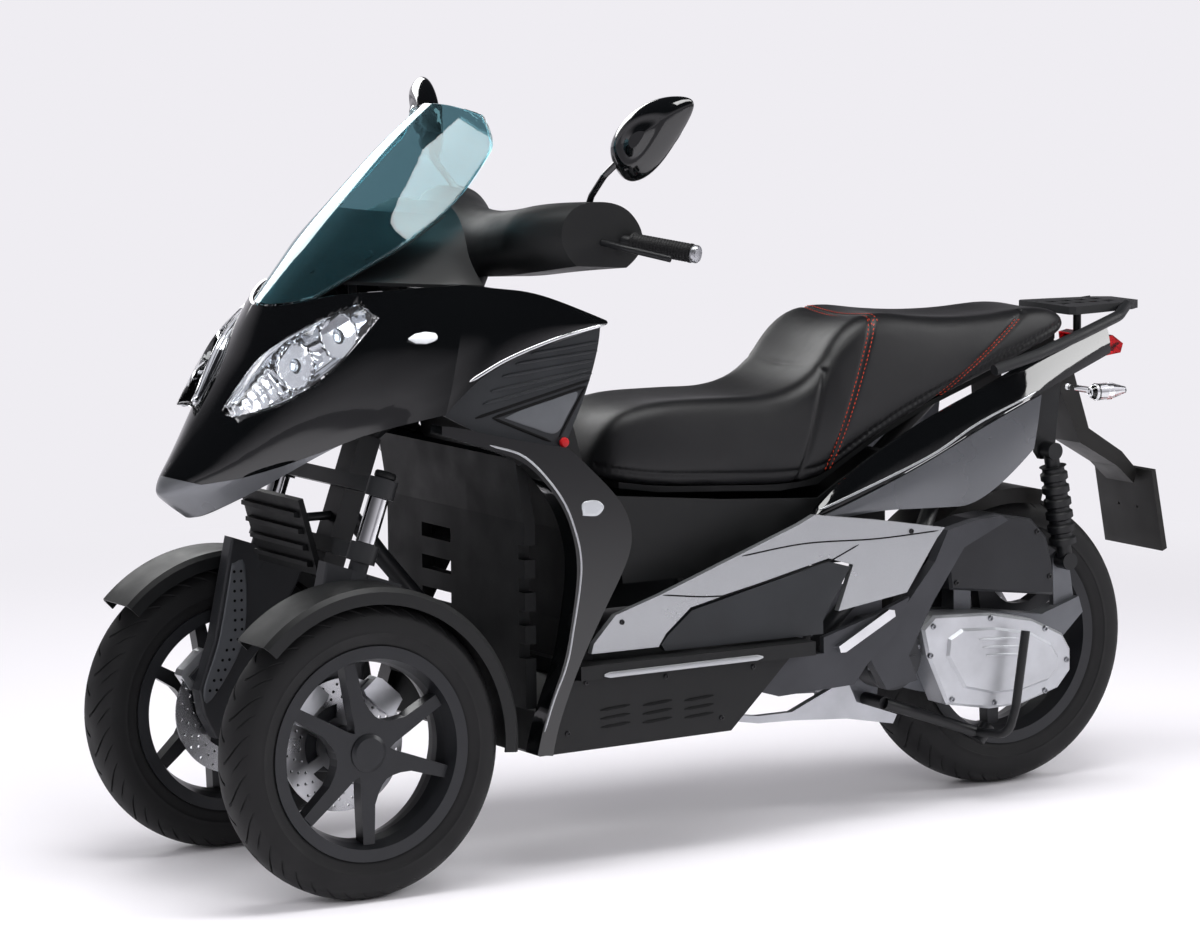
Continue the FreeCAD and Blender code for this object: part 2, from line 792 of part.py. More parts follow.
# Front cover: one moulded skin from the screen's base to the beak's lip, and round both sides
FRONT_COVER_SHARES = [
    [(-44, 0, 1033), (-38, 45, 1035), (-15, 92, 1044), (25, 140, 1058), (66, 185, 1065), (120, 205, 1067),
     (180, 222, 1071), (240, 236, 1073)],
    [(-70, 0, 985), (-66, 45, 987), (-45, 95, 998), (-2, 142, 1015), (50, 187, 1030), (108, 212, 1038),
     (172, 232, 1045), (236, 248, 1050)],
    [(-98, 0, 930), (-94, 45, 932), (-76, 97, 942), (-32, 147, 960), (28, 190, 985), (92, 220, 1003),
     (160, 244, 1015), (230, 260, 1022)],
    [(-135, 0, 872), (-132, 45, 873), (-118, 95, 880), (-72, 145, 900), (0, 188, 935), (72, 224, 960),
     (145, 252, 978), (220, 270, 992)],
    [(-168, 0, 824), (-166, 42, 826), (-145, 92, 835), (-98, 142, 852), (-25, 185, 886), (55, 224, 915),
     (130, 256, 938), (210, 277, 960)],
    [(-212, 0, 768), (-204, 42, 772), (-168, 92, 786), (-112, 142, 806), (-38, 183, 842), (40, 222, 872),
     (118, 258, 898), (200, 281, 924)],
    [(-262, 0, 712), (-240, 40, 722), (-186, 85, 742), (-122, 132, 765), (-42, 178, 800), (30, 218, 836),
     (105, 255, 864), (190, 285, 888)],
    [(-236, 0, 689), (-222, 35, 694), (-178, 78, 716), (-116, 125, 745), (-38, 176, 785), (24, 214, 818),
     (96, 251, 844), (183, 286, 866)],
    [(-197, 0, 662), (-185, 35, 668), (-150, 70, 690), (-100, 115, 722), (-34, 172, 772), (20, 210, 806),
     (90, 248, 830), (178, 287, 850)],
]
wall = size("panel_wall")
front_rows = [points(row) for row in FRONT_COVER_SHARES]
front_skin = walled([across_row(row) for row in front_rows], wall)

# Front lip: the satin grey moulding along the skin's foot, under the beak
LIP_SHARES = [(-400, 744), (-240, 741), (-198, 730), (-137, 742), (-77, 762), (-20, 786), (48, 816), (60, 600),
              (-400, 600)]
lip_half = side(SIDE_SHARES).value + size("overrun")
lip_space = prism(LIP_SHARES, -lip_half, lip_half)
front_lip = front_skin.common(lip_space)
feature("front_lip", max(front_lip.Solids, key=lambda solid: solid.Volume))
lip_space.translate(Vector(0, 0, size("seat_gap")))
front_cover = front_skin.cut(lip_space)
front_cover = max(front_cover.Solids, key=lambda solid: solid.Volume)
feature("front_cover", front_cover)

# Side fairings: the skins that sweep back from the front cover to a point beside the rider's knee
FAIRING_TOP_SHARES = [(310, 250, 1064), (370, 262, 1056), (440, 276, 1030), (509, 288, 999)]
FAIRING_FOOT_SHARES = [(232, 291, 905), (300, 292, 935), (400, 292, 966), (506, 291, 991)]
FAIRING_CROWN_SHARE = 6
fairing_top = points(FAIRING_TOP_SHARES)
fairing_foot = points(FAIRING_FOOT_SHARES)
crown = Vector(0, side(FAIRING_CROWN_SHARE).value, 0)
fairing_rows = between(fairing_top, fairing_foot, crown, len(front_rows) - 1)
fairing_rows = [[front[-1]] + row for front, row in zip(front_rows, fairing_rows)]
side_fairing = walled(fairing_rows, wall)
feature("side_fairings", Part.makeCompound([side_fairing, mirror(side_fairing)]))

# Headlamps: swept lenses that lie on the front cover, one each side of the ridge
LAMP_TOP_SHARES = [(-150, 74, 862), (-112, 86, 925), (-78, 104, 968), (-10, 142, 1012), (66, 186, 1050)]
LAMP_FOOT_SHARES = [(-140, 92, 850), (-100, 138, 866), (-44, 172, 896), (18, 196, 945), (84, 208, 1022)]
LAMP_CROWN_SHARES = (-10, 8, 0)
LAMP_LIFT = 1.2


def lamp_rows():
    crown_x = back(LAMP_CROWN_SHARES[0]).value - front_x
    bulge = Vector(crown_x, side(LAMP_CROWN_SHARES[1]).value, 0)
    rows = between(points(LAMP_TOP_SHARES), points(LAMP_FOOT_SHARES), bulge)
    lift = wall * LAMP_LIFT
    return [[point - inward(point) * lift for point in row] for row in rows]


lamp = walled(lamp_rows(), wall * 3).cut(front_cover)
lamp = max(lamp.Solids, key=lambda solid: solid.BoundBox.XMax)
feature("headlamps", Part.makeCompound([lamp, mirror(lamp)]))

# Windscreen: a tinted sheet that leans back and wraps round towards the bars
SCREEN_SHARES = [
    [(-42, 0, 1036), (-30, 55, 1040), (12, 100, 1052)],
    [(5, 0, 1090), (22, 75, 1092), (90, 150, 1105)],
    [(60, 0, 1150), (80, 95, 1151), (153, 196, 1151)],
    [(135, 0, 1222), (155, 100, 1222), (250, 195, 1213)],
    [(215, 0, 1300), (235, 92, 1300), (318, 182, 1285)],
    [(285, 0, 1358), (300, 80, 1357), (354, 165, 1322)],
    [(318, 0, 1383), (328, 60, 1380), (345, 130, 1366)],
]


def straight_back(point):
    return Vector(-1, 0, 0)


screen_rows = [across_row(points(row)) for row in SCREEN_SHARES]
windscreen = walled(screen_rows, size("screen_wall"), straight_back)
feature("windscreen", windscreen)

# Garnish: the black trim behind the screen's foot
GARNISH_ROWS = 3
GARNISH_TOP_SHARE = 0.7
garnish_shift = Vector(-size("screen_wall") * 2.5, 0, 0)
garnish_top = [low + (high - low) * GARNISH_TOP_SHARE
               for low, high in zip(screen_rows[GARNISH_ROWS - 1], screen_rows[GARNISH_ROWS])]
garnish_rows = [[point + garnish_shift for point in row] for row in screen_rows[:GARNISH_ROWS] + [garnish_top]]
screen_garnish = walled(garnish_rows, size("screen_wall"), straight_back)
GARNISH_BOSS_SHARES = [(36, 60, 1100), (112, 140, 1126)]
bosses = []
for spot in GARNISH_BOSS_SHARES:
    start = at(*spot)
    piece = stay(start, start + Vector(size("overrun") * 2, 0, 0), windscreen)
    bosses += [piece, mirror(piece)]
feature("screen_garnish", fused([screen_garnish] + bosses))

# Instrument hood between the screen and the bars, and the plate with the dials
HOOD_SHARES = [
    [(30, 0, 1078), (40, 60, 1079), (75, 120, 1080), (130, 172, 1078), (190, 203, 1075), (232, 222, 1073)],
    [(120, 0, 1145), (128, 60, 1145), (150, 115, 1140), (185, 166, 1118), (222, 206, 1090), (250, 225, 1073)],
    [(215, 0, 1190), (220, 60, 1192), (232, 120, 1187), (244, 172, 1152), (254, 208, 1100), (268, 227, 1071)],
    [(285, 0, 1208), (287, 65, 1210), (288, 127, 1203), (280, 178, 1166), (272, 211, 1106), (290, 229, 1069)],
]


def downward(point):
    return Vector(0, 0, -1)


hood_rows = [across_row(points(row)) for row in HOOD_SHARES]
hood = walled(hood_rows, wall * 0.75, downward)
feature("instrument_hood", hood)
DIAL_SHARES = [(232, 1162), (244, 1168), (300, 1056), (290, 1050)]
dials = cross_prism("instruments", DIAL_SHARES, side(98))
keep("instruments", dials)

# Fairing inserts: ribbed panels under the fairing's edge
INSERT_RUNS = [
    [(178, 849), (232, 904), (300, 934), (400, 965), (506, 990)],
    [(506, 990), (503, 918), (437, 790)],
    [(437, 790), (418, 750)],
    [(418, 750), (288, 788), (178, 849)],
]
insert_outer = side(280).value - wall - size("seat_gap")
insert_inner = insert_outer - wall
insert = outline_plate(INSERT_RUNS, insert_inner, insert_outer)
feature("fairing_inserts", Part.makeCompound([insert, mirror(insert)]))

# Leg shields: C-shaped wings that stand behind the front wheels
SHIELD_RUNS = [
    [(154, 834), (182, 832), (288, 802), (413, 777)],
    [(413, 777), (486, 712), (531, 660), (547, 607), (531, 555), (483, 476), (430, 380), (402, 315),
     (382, 262), (374, 222)],
    [(374, 222), (342, 226)],
    [(342, 226), (350, 262), (372, 325), (398, 383), (412, 440), (432, 560), (415, 640), (381, 700), (320, 762),
     (238, 790), (154, 818)],
    [(154, 818), (154, 834)],
]
shield_inner = insert_outer + size("seat_gap")
shield_outer = side(315).value
leg_shield = outline_plate(SHIELD_RUNS, shield_inner, shield_outer)
feature("leg_shields", Part.makeCompound([leg_shield, mirror(leg_shield)]))

# Inner shield: the panel that faces the rider, from under the dials down to the floor
SHIELD_TOP_SHARES = [(318, 1040), (372, 1052), (402, 960), (358, 960)]
SHIELD_MIDDLE_SHARES = [(358, 960), (402, 960), (455, 800), (506, 620), (466, 612), (424, 780)]
SHIELD_FOOT_SHARES = [(466, 612), (506, 620), (520, 440), (508, 372.5), (470, 372.5), (482, 440)]
inner_half = Length(insert_inner - size("seat_gap"), "(" + side(280).formula
                    + " - Sizes.panel_wall * 2 - Sizes.seat_gap * 2)")
inner_shield = new_body("inner_shield")
for shares, half in ((SHIELD_MIDDLE_SHARES, inner_half), (SHIELD_TOP_SHARES, side(224)),
                     (SHIELD_FOOT_SHARES, side(230))):
    pad(inner_shield, sketch_of(inner_shield, "XZ_Plane", flat(shares)), half * 2)

# Arch liner: the wall behind the front wheels, with ladder louvres each side
LINER_SHARES = [(352, 300), (352, 640), (334, 756), (352, 760), (374, 640), (374, 300)]
arch_liner = cross_prism("arch_liner", LINER_SHARES, side(258))
LOUVRE_SHARES = (392, 452, 512, 572)
LOUVRE_RISE_SHARE = 26
LOUVRE_DEPTH_SHARES = (330, 400)
for louvre in LOUVRE_SHARES:
    front, rear = LOUVRE_DEPTH_SHARES
    louvre_top = louvre + LOUVRE_RISE_SHARE
    slot = [(front, louvre), (front, louvre_top), (rear, louvre_top), (rear, louvre)]
    for spot in (side(-235), side(125)):
        pocket(arch_liner, sketch_of(arch_liner, "XZ_Plane", flat(slot), spot), side(110), midplane=False)

# Floor: flat boards for the feet each side of a hollow tunnel
FLOOR_SHARES = [(452, 372), (960, 372), (960, 346), (452, 346)]
TUNNEL_SHARES = [(526, 372), (520, 560), (560, 590), (590, 590), (590, 372)]
floor = new_body("floor")
pad(floor, sketch_of(floor, "XZ_Plane", flat(FLOOR_SHARES)), side(285) * 2)
pad(floor, sketch_of(floor, "XZ_Plane", flat(TUNNEL_SHARES)), side(105) * 2)
keep("floor", floor)

# Belly pan: a channel under the floor
BELLY_SHARES = [(350, 226), (378, 292), (437, 345), (912, 345), (781, 220), (372, 214)]
BELLY_HOLLOW_SHARES = [(362, 234), (388, 284), (446, 336), (446, 400), (1000, 400), (1000, 231), (781, 229),
                       (374, 223)]
# Where the backbone passes
BELLY_NOTCH_SHARES = [(376, 280), (376, 400), (460, 400), (460, 280)]
belly = new_body("belly_pan")
pad(belly, sketch_of(belly, "XZ_Plane", flat(BELLY_SHARES)), side(272) * 2)
pocket(belly, sketch_of(belly, "XZ_Plane", flat(BELLY_HOLLOW_SHARES)), (side(272) - cell("panel_wall")) * 2)
notch_half = cell("frame_tube_radius") + cell("moving_gap")
pocket(belly, sketch_of(belly, "XZ_Plane", flat(BELLY_NOTCH_SHARES)), notch_half * 2)
keep("belly_pan", belly)

# Side panels: the silver sills under the seat, each with a dark knee insert
PANEL_SHARES = [(495, 387), (500, 405), (547, 454), (646, 484), (813, 542), (948, 589), (982, 604), (1120, 584),
                (1277, 557), (1259, 538), (1190, 440), (1035, 418), (1068, 503), (1012, 520), (708, 454),
                (654, 410), (638, 387)]
KNEE_SHARES = [(644, 390), (659, 407), (711, 448), (1012, 514), (1061, 500), (1023, 440), (1000, 404),
               (1000, 378), (653, 378)]
panel_inner = side(236)
panel_outer = panel_inner + cell("plate_wall")
both_sides("side_panels", side_plate("side_panels", PANEL_SHARES, panel_inner, panel_outer))
both_sides("side_inserts", side_plate("side_inserts", KNEE_SHARES, panel_inner, panel_outer))

# Lower covers: the grey castings behind the rider's heels that carry the pillion's pegs, each with the dark
# strut that rises behind it to the tail
LOWER_COVER_SHARES = [(830, 290), (903, 268), (1073, 274), (1103, 311), (1167, 362), (1199, 430), (1120, 402),
                      (1004, 370), (1004, 340), (900, 338)]
STRUT_SHARES = [(1156, 254), (1116, 318), (1148, 350), (1205, 420), (1266, 490), (1296, 548), (1364, 562),
                (1423, 566), (1436, 556), (1334, 512), (1262, 414), (1206, 316), (1226, 266)]
lower_cover = side_plate("lower_covers", LOWER_COVER_SHARES, side(232), side(232) + cell("plate_wall"))
pad(lower_cover, sketch_of(lower_cover, "XZ_Plane", flat(STRUT_SHARES), side(-208)), side(234) - side(208),
    midplane=False, reverse=True)
both_sides("lower_covers", lower_cover)

# Storage box under the seat, open at the top
BOX_SHARES = [(612, 496), (596, 660), (830, 636), (1044, 622), (1090, 650), (1196, 704), (1196, 556),
              (1140, 496)]
BOX_HOLLOW_SHARES = [(620, 504), (602, 700), (1188, 760), (1188, 562), (1134, 504)]
HINGE_SHARES = (584, 676)
HINGE_WEB_SHARES = [(578, 668), (580, 684), (592, 682), (606, 650), (606, 620)]
storage = new_body("storage_box")
pad(storage, sketch_of(storage, "XZ_Plane", flat(BOX_SHARES)), side(168) * 2)
pocket(storage, sketch_of(storage, "XZ_Plane", flat(BOX_HOLLOW_SHARES)), (side(168) - cell("box_wall")) * 2)
hinge_x = back(HINGE_SHARES[0])
hinge_z = up(HINGE_SHARES[1])
hinge_pin = cell("box_wall") * 0.8
pad(storage, sketch_of(storage, "XZ_Plane", flat(HINGE_WEB_SHARES)), side(25) * 2)
pad(storage, circle_sketch(storage, "XZ_Plane", hinge_x, hinge_z, hinge_pin * 1.8), side(25) * 2)
hinge_bore = hinge_pin + cell("running_gap")
pocket(storage, circle_sketch(storage, "XZ_Plane", hinge_x, hinge_z, hinge_bore), side(60) * 2)
keep("storage_box", storage)

# Tail: gloss strips under the seat's edge, and the grey panels below them
TAIL_TOP_SHARES = [(1006, 204, 598), (1074, 196, 660), (1286, 178, 757), (1471, 158, 818), (1626, 126, 878),
                   (1780, 84, 902)]
TAIL_FOOT_SHARES = [(1000, 214, 592), (1090, 212, 618), (1270, 204, 680), (1420, 188, 742), (1560, 170, 788),
                    (1780, 100, 846)]
GREY_TOP_SHARES = [(1014, 216, 592), (1090, 213, 614), (1270, 205, 676), (1420, 189, 738), (1560, 171, 784)]
GREY_FOOT_SHARES = [(1050, 214, 584), (1130, 212, 596), (1280, 200, 588), (1420, 186, 582), (1545, 168, 680)]
tail_crown = Vector(0, side(6).value, 0)
tail_strip = walled(between(points(TAIL_TOP_SHARES), points(TAIL_FOOT_SHARES), tail_crown, 2), wall)
feature("tail_strips", Part.makeCompound([tail_strip, mirror(tail_strip)]))
tail_panel = walled(between(points(GREY_TOP_SHARES), points(GREY_FOOT_SHARES), tail_crown * 0.5, 2), wall)
feature("tail_panels", Part.makeCompound([tail_panel, mirror(tail_panel)]))

# Seat: a padded cushion on a pan that is hinged at its front end
# Each section gives a setback, a half width, the underside's height and the top's height
SEAT_SHARES = [(590, 88, 690, 722), (604, 112, 684, 760), (640, 132, 676, 800), (720, 146, 664, 818),
               (860, 152, 656, 816), (980, 154, 648, 812), (1066, 154, 654, 846), (1130, 152, 690, 934),
               (1210, 148, 732, 958), (1330, 140, 782, 940), (1470, 126, 826, 934), (1600, 108, 868, 946),
               (1668, 88, 890, 934), (1684, 70, 900, 920)]
# Poles across a section: share of the half width, and share of the way from the underside to the top
SEAT_ROUND_SHARES = [(0.94, 0), (1.04, 0.2), (1.02, 0.62), (0.9, 1.04), (0.4, 1), (0, 0.985)]
PAN_DEPTH_SHARE = 11
PAN_RISE_SHARE = 14
PAN_INSET_SHARE = 22


def seat_section(setback, half, low, high):
    wide = side(half).value
    return [Vector(back(setback).value, wide * across, up(low + (high - low) * rise).value)
            for across, rise in reversed(SEAT_ROUND_SHARES)]


cushion = closed_by([across_row(seat_section(*section)) for section in SEAT_SHARES])
feature("seat_cushion", cushion)


def pan_section(setback, half, low, high):
    wide = side(half - PAN_INSET_SHARE).value
    top = up(low + PAN_RISE_SHARE).value
    foot = up(low - PAN_DEPTH_SHARE).value
    x = back(setback).value
    ring = [Vector(x, -wide, foot), Vector(x, wide, foot), Vector(x, wide, top), Vector(x, -wide, top)]
    return Part.makePolygon(ring + ring[:1])


PAN_EAR_SHARES = [(578, 669), (578, 683), (640, 671), (660, 668), (640, 664)]
pan = Part.makeLoft([pan_section(*section) for section in SEAT_SHARES[2:-1]], True, True).cut(cushion)
pan = max(pan.Solids, key=lambda solid: solid.Volume)
pan.translate(Vector(0, 0, -size("seat_gap")))
ear_inner = side(30).value
ear_outer = side(38).value
pin = Part.makeCylinder(hinge_pin.value, ear_outer * 2, Vector(hinge_x.value, -ear_outer, hinge_z.value),
                        Vector(0, 1, 0))
pan_ear = prism(PAN_EAR_SHARES, ear_inner, ear_outer)
feature("seat_pan", fused([pan, pan_ear, mirror(pan_ear), pin]))

# Engine: one plain block with the drive case beside the rear wheel, and ears for the stand
ENGINE_SHARES = [(1010, 236), (1010, 420), (1150, 440), (1250, 400), (1250, 250), (1180, 226)]
CASE_SHARES = [(1158, 262), (1158, 342), (1190, 372), (1290, 380), (1436, 368), (1600, 344), (1690, 372),
               (1700, 340), (1620, 268), (1560, 208), (1433, 190), (1300, 222), (1240, 240)]
EAR_SHARES = [(1192, 188), (1186, 240), (1248, 252), (1242, 188)]
EAR_GAP_SHARES = [(1184, 186), (1184, 224), (1250, 224), (1250, 186)]
STAND_PIVOT_SHARES = (1217, 207)
LUG_SHARES = [(1640, 330), (1636, 450), (1654, 462), (1674, 450), (1690, 350)]
BOX_LUG_SHARES = [(1390, 350), (1390, 452), (1430, 452), (1430, 350)]
case_outer = cell("case_side")
engine_side = cell("engine_half_width")
engine = new_body("engine")
pad(engine, sketch_of(engine, "XZ_Plane", flat(ENGINE_SHARES)), engine_side * 2)
pad(engine, sketch_of(engine, "XZ_Plane", flat(CASE_SHARES), engine_side * -1), case_outer - engine_side,
    midplane=False, reverse=True)
ear_half = engine_side * 0.9
pad(engine, sketch_of(engine, "XZ_Plane", flat(EAR_SHARES)), ear_half * 2)
pocket(engine, sketch_of(engine, "XZ_Plane", flat(EAR_GAP_SHARES)), (ear_half - cell("stand_pivot_radius")) * 2)
arm_inner = cell("rear_disc_offset") + cell("disc_thickness") + cell("moving_gap") * 1.5
pad(engine, sketch_of(engine, "XZ_Plane", flat(LUG_SHARES), arm_inner * -1), cell("plate_wall"),
    midplane=False, reverse=True)
pad(engine, sketch_of(engine, "XZ_Plane", flat(BOX_LUG_SHARES), engine_side * -1), case_outer - engine_side,
    midplane=False, reverse=True)
pivot_x = back(STAND_PIVOT_SHARES[0])
pivot_z = up(STAND_PIVOT_SHARES[1])
pivot_bore = cell("stand_pivot_radius") + cell("running_gap")
pocket(engine, circle_sketch(engine, "XZ_Plane", pivot_x, pivot_z, pivot_bore), engine_side * 3)
keep("engine", engine)

# Drive cover: the silver lid of the belt case, with the dark round variator cover at its front
CVT_SHARES = [(1284, 300), (1272, 352), (1300, 376), (1432, 370), (1530, 350), (1604, 315), (1624, 282),
              (1624, 240), (1595, 208), (1506, 184), (1433, 182), (1330, 200)]
CVT_OVAL_SHARES = [(1326, 296), (1330, 330), (1362, 346), (1440, 342), (1520, 326), (1574, 298), (1592, 270),
                   (1590, 246), (1568, 226), (1504, 212), (1436, 212), (1366, 230)]
VARIATOR_SHARES = (1215, 302, 64)
cvt_inner = case_outer + cell("seat_gap")
cvt_outer = cvt_inner + cell("case_side") * 0.5
cvt = side_plate("cvt_cover", CVT_SHARES, cvt_inner, cvt_outer)
raised(cvt, CVT_SHARES, cvt_outer, cell("cover_step"))
raised(cvt, CVT_OVAL_SHARES, cvt_outer + cell("cover_step"), cell("cover_step"))
keep("cvt_cover", cvt)
variator = new_body("variator_cover")
variator_radius = drive * (VARIATOR_SHARES[2] / DRIVE_SHARES)
variator_outer = cvt_inner + cell("case_side") * 0.42
for radius, start, depth in ((variator_radius, cvt_inner, variator_outer - cvt_inner),
                             (variator_radius * 0.86, variator_outer, cell("cover_step")),
                             (variator_radius * 0.4, variator_outer + cell("cover_step"), cell("cover_step"))):
    pad(variator, circle_sketch(variator, "XZ_Plane", back(VARIATOR_SHARES[0]), up(VARIATOR_SHARES[1]), radius,
                                start * -1), depth, midplane=False, reverse=True)
keep("variator_cover", variator)

# Air cleaner box over the belt case
AIRBOX_SHARES = [(1321, 539), (1385, 557), (1443, 562), (1529, 546), (1566, 507), (1583, 440), (1583, 392),
                 (1338, 423)]
airbox_inner = case_outer + cell("seat_gap")
airbox_outer = airbox_inner + cell("case_side") * 0.5
airbox = side_plate("airbox", AIRBOX_SHARES, airbox_inner, airbox_outer)
raised(airbox, AIRBOX_SHARES, airbox_outer, cell("cover_step"))
AIRBOX_FACE_SHARES = [(1366, 436), (1390, 520), (1448, 536), (1516, 522), (1544, 494), (1560, 412)]
airbox_face = (airbox_outer + cell("cover_step")) * -1
pocket(airbox, sketch_of(airbox, "XZ_Plane", flat(AIRBOX_FACE_SHARES), airbox_face), cell("cover_step"),
       midplane=False)
keep("airbox", airbox)

# Rear arm on the right: it carries the axle, the right shock and the silencer
ARM_SHARES = [(1200, 262), (1200, 338), (1400, 330), (1500, 330), (1580, 350), (1640, 450), (1656, 464),
              (1676, 450), (1620, 300), (1590, 256), (1540, 248), (1400, 262)]
ARM_BOSS_SHARES = (1222, 300, 26)
rear_arm = new_body("rear_arm")
pad(rear_arm, sketch_of(rear_arm, "XZ_Plane", flat(ARM_SHARES), arm_inner), cell("plate_wall"),
    midplane=False)
boss_start = engine_side + cell("seat_gap")
boss_depth = arm_inner - boss_start + cell("plate_wall") * 0.5
pad(rear_arm, circle_sketch(rear_arm, "XZ_Plane", back(ARM_BOSS_SHARES[0]), up(ARM_BOSS_SHARES[1]),
                            up(ARM_BOSS_SHARES[2]), boss_start), boss_depth, midplane=False)
axle_from = engine_side - cell("seat_gap")
pad(rear_arm, circle_sketch(rear_arm, "XZ_Plane", rear_axle, rear_height, cell("axle_radius"), axle_from * -1),
    axle_from + arm_inner + cell("plate_wall"), midplane=False)
keep("rear_arm", rear_arm)

# Shocks: dampers with coil springs, outside the lugs that carry the rear axle
SHOCK_FOOT_SHARES = (1655, 446)
SHOCK_TOP_SHARES = (1618, 666)
eye_inner = (arm_inner + cell("plate_wall") + cell("seat_gap")).value
eye_width = size("damper_radius") * 2.2
shock_y = eye_inner + eye_width * 0.5
shock_foot = Vector(back(SHOCK_FOOT_SHARES[0]).value, shock_y, up(SHOCK_FOOT_SHARES[1]).value)
shock_top = Vector(back(SHOCK_TOP_SHARES[0]).value, shock_y, up(SHOCK_TOP_SHARES[1]).value)


def make_shock():
    run = (shock_top - shock_foot).Length
    turns = int(size("spring_turns"))
    low = run * 0.16
    high = run * 0.86
    inner = size("spring_radius") - size("spring_wire_radius")
    outer = size("spring_radius")
    profile = [(0, 0), (size("damper_radius"), 0), (size("damper_radius"), low), (outer, low)]
    pitch = (high - low) / turns
    for turn in range(turns):
        start = low + pitch * turn
        profile += [(outer, start + pitch * 0.45), (inner, start + pitch * 0.6), (inner, start + pitch * 0.85),
                    (outer, start + pitch)]
    profile += [(size("damper_radius"), high), (size("damper_radius"), run), (0, run)]
    ring = [Vector(reach, 0, rise) for reach, rise in profile]
    column = Part.Face(Part.makePolygon(ring + ring[:1])).revolve(Vector(0, 0, 0), Vector(0, 0, 1), 360)
    column.Placement = Placement(shock_foot, Rotation(Vector(0, 0, 1), shock_top - shock_foot))
    eyes = [Part.makeCylinder(size("shock_eye_radius"), eye_width, spot - Vector(0, eye_width * 0.5, 0),
                              Vector(0, 1, 0)) for spot in (shock_foot, shock_top)]
    return fused([column] + eyes)


shock = make_shock()
feature("shocks", Part.makeCompound([shock, mirror(shock)]))

# Rear hugger: a narrow mudguard over the front of the rear wheel, held by the drive case
HUGGER_START = 12
HUGGER_SWEEP = 92


def make_hugger():
    inner = rear_height.value + size("hugger_gap")
    outer = inner + size("fender_wall")
    foot = inner - size("fender_skirt")
    half = engine_side.value - size("seat_gap")
    web = half - size("fender_wall")
    profile = [(foot, -half), (outer, -half), (outer, half), (foot, half), (foot, web), (inner, web),
               (inner, -web), (foot, -web)]
    ring = [Vector(reach, across, 0) for reach, across in profile]
    face = Part.Face(Part.makePolygon(ring + ring[:1]))
    face.rotate(Vector(0, 0, 0), Vector(0, -1, 0), HUGGER_START)
    shell = face.revolve(Vector(0, 0, 0), Vector(0, -1, 0), HUGGER_SWEEP)
    shell.translate(Vector(rear_axle.value, 0, rear_height.value))
    return shell


feature("rear_hugger", make_hugger())

# Exhaust on the right: a pipe from the engine into a round silencer
PIPE_SHARES = [(1100, -79, 294), (1100, -150, 294), (1250, -186, 305), (1330, -188, 328)]
SILENCER_SHARES = [(1310, -188, 322), (1720, -200, 430)]
SILENCER_RADIUS_SHARE = 52
SILENCER_LUG_SHARES = (1570, 340)
pipe_radius = size("damper_radius") * 1.2
pipe_points = points(PIPE_SHARES)
pipe_points[0].y = -engine_side.value - size("seat_gap")
silencer_start, silencer_end = points(SILENCER_SHARES)
lug_x = back(SILENCER_LUG_SHARES[0]).value
lug_z = up(SILENCER_LUG_SHARES[1]).value
exhaust = fused([
    tube(pipe_points, pipe_radius, pipe_radius * 3),
    rod(silencer_start, silencer_end, side(SILENCER_RADIUS_SHARE).value),
    rod(Vector(lug_x, -eye_inner, lug_z), Vector(lug_x, silencer_start.y, lug_z), size("stay_radius")),
])
feature("exhaust", exhaust)

# Engine links: plates that hang the engine from the frame, and the forged bracket under the floor
LINK_SHARES = [(862, 275), (870, 302), (900, 306), (1040, 300), (1060, 262), (1020, 244), (890, 262)]
BRACKET_SHARES = [(805, 224), (812, 234), (900, 221), (975, 221), (1076, 262), (1104, 264), (1122, 226),
                  (1215, 193), (1206, 176), (1100, 196), (975, 205), (900, 207)]
BRACKET_BOSS_SHARES = (1094, 246)
link_inner = engine_side.value + size("seat_gap")
link_outer = link_inner + size("plate_wall")
link = prism(LINK_SHARES, link_inner, link_outer)
bracket = prism(BRACKET_SHARES, side(164).value, side(180).value)
boss = rod(Vector(back(BRACKET_BOSS_SHARES[0]).value, link_inner, up(BRACKET_BOSS_SHARES[1]).value),
           Vector(back(BRACKET_BOSS_SHARES[0]).value, side(170).value, up(BRACKET_BOSS_SHARES[1]).value),
           size("frame_tube_radius") * 0.7)
feature("engine_links", Part.makeCompound([link, mirror(link), fused([bracket, boss])]))

# Pillion pegs, folded flat against the lower covers
PEG_SHARES = [(1034, 340), (1030, 352), (1144, 412), (1156, 410), (1158, 398), (1046, 340)]
peg_inner = side(232).value + size("plate_wall") + size("seat_gap")
peg = prism(PEG_SHARES, peg_inner, peg_inner + size("plate_wall") * 0.9)
feature("pillion_pegs", Part.makeCompound([peg, mirror(peg)]))

# Plate holder: an arm under the tail with a flat face for the plate
HOLDER_ARM_SHARES = [(1698, 808), (1730, 808), (1768, 692), (1850, 640), (1888, 600), (1880, 574), (1838, 612),
                     (1748, 664), (1698, 770)]
HOLDER_PAD_SHARES = [(1886, 604), (1896, 606), (1926, 445), (1915, 440)]
holder = fused([prism(HOLDER_ARM_SHARES, -side(45).value, side(45).value),
                prism(HOLDER_PAD_SHARES, -side(95).value, side(95).value)])
pad_high, pad_low = (at(setback, 0, rise) for setback, rise in HOLDER_PAD_SHARES[1:3])
pad_centre = (pad_low + pad_high) * 0.5
pad_normal = Vector(pad_low.z - pad_high.z, 0, pad_high.x - pad_low.x).normalize()
for sign in (-1, 1):
    spot = pad_centre + Vector(0, sign * size("plate_bolt_spacing") * 0.5, 0)
    depth = pad_normal * size("overrun")
    holder = holder.cut(rod(spot - depth, spot + depth, size("plate_bolt_radius")))
feature("plate_holder", holder)

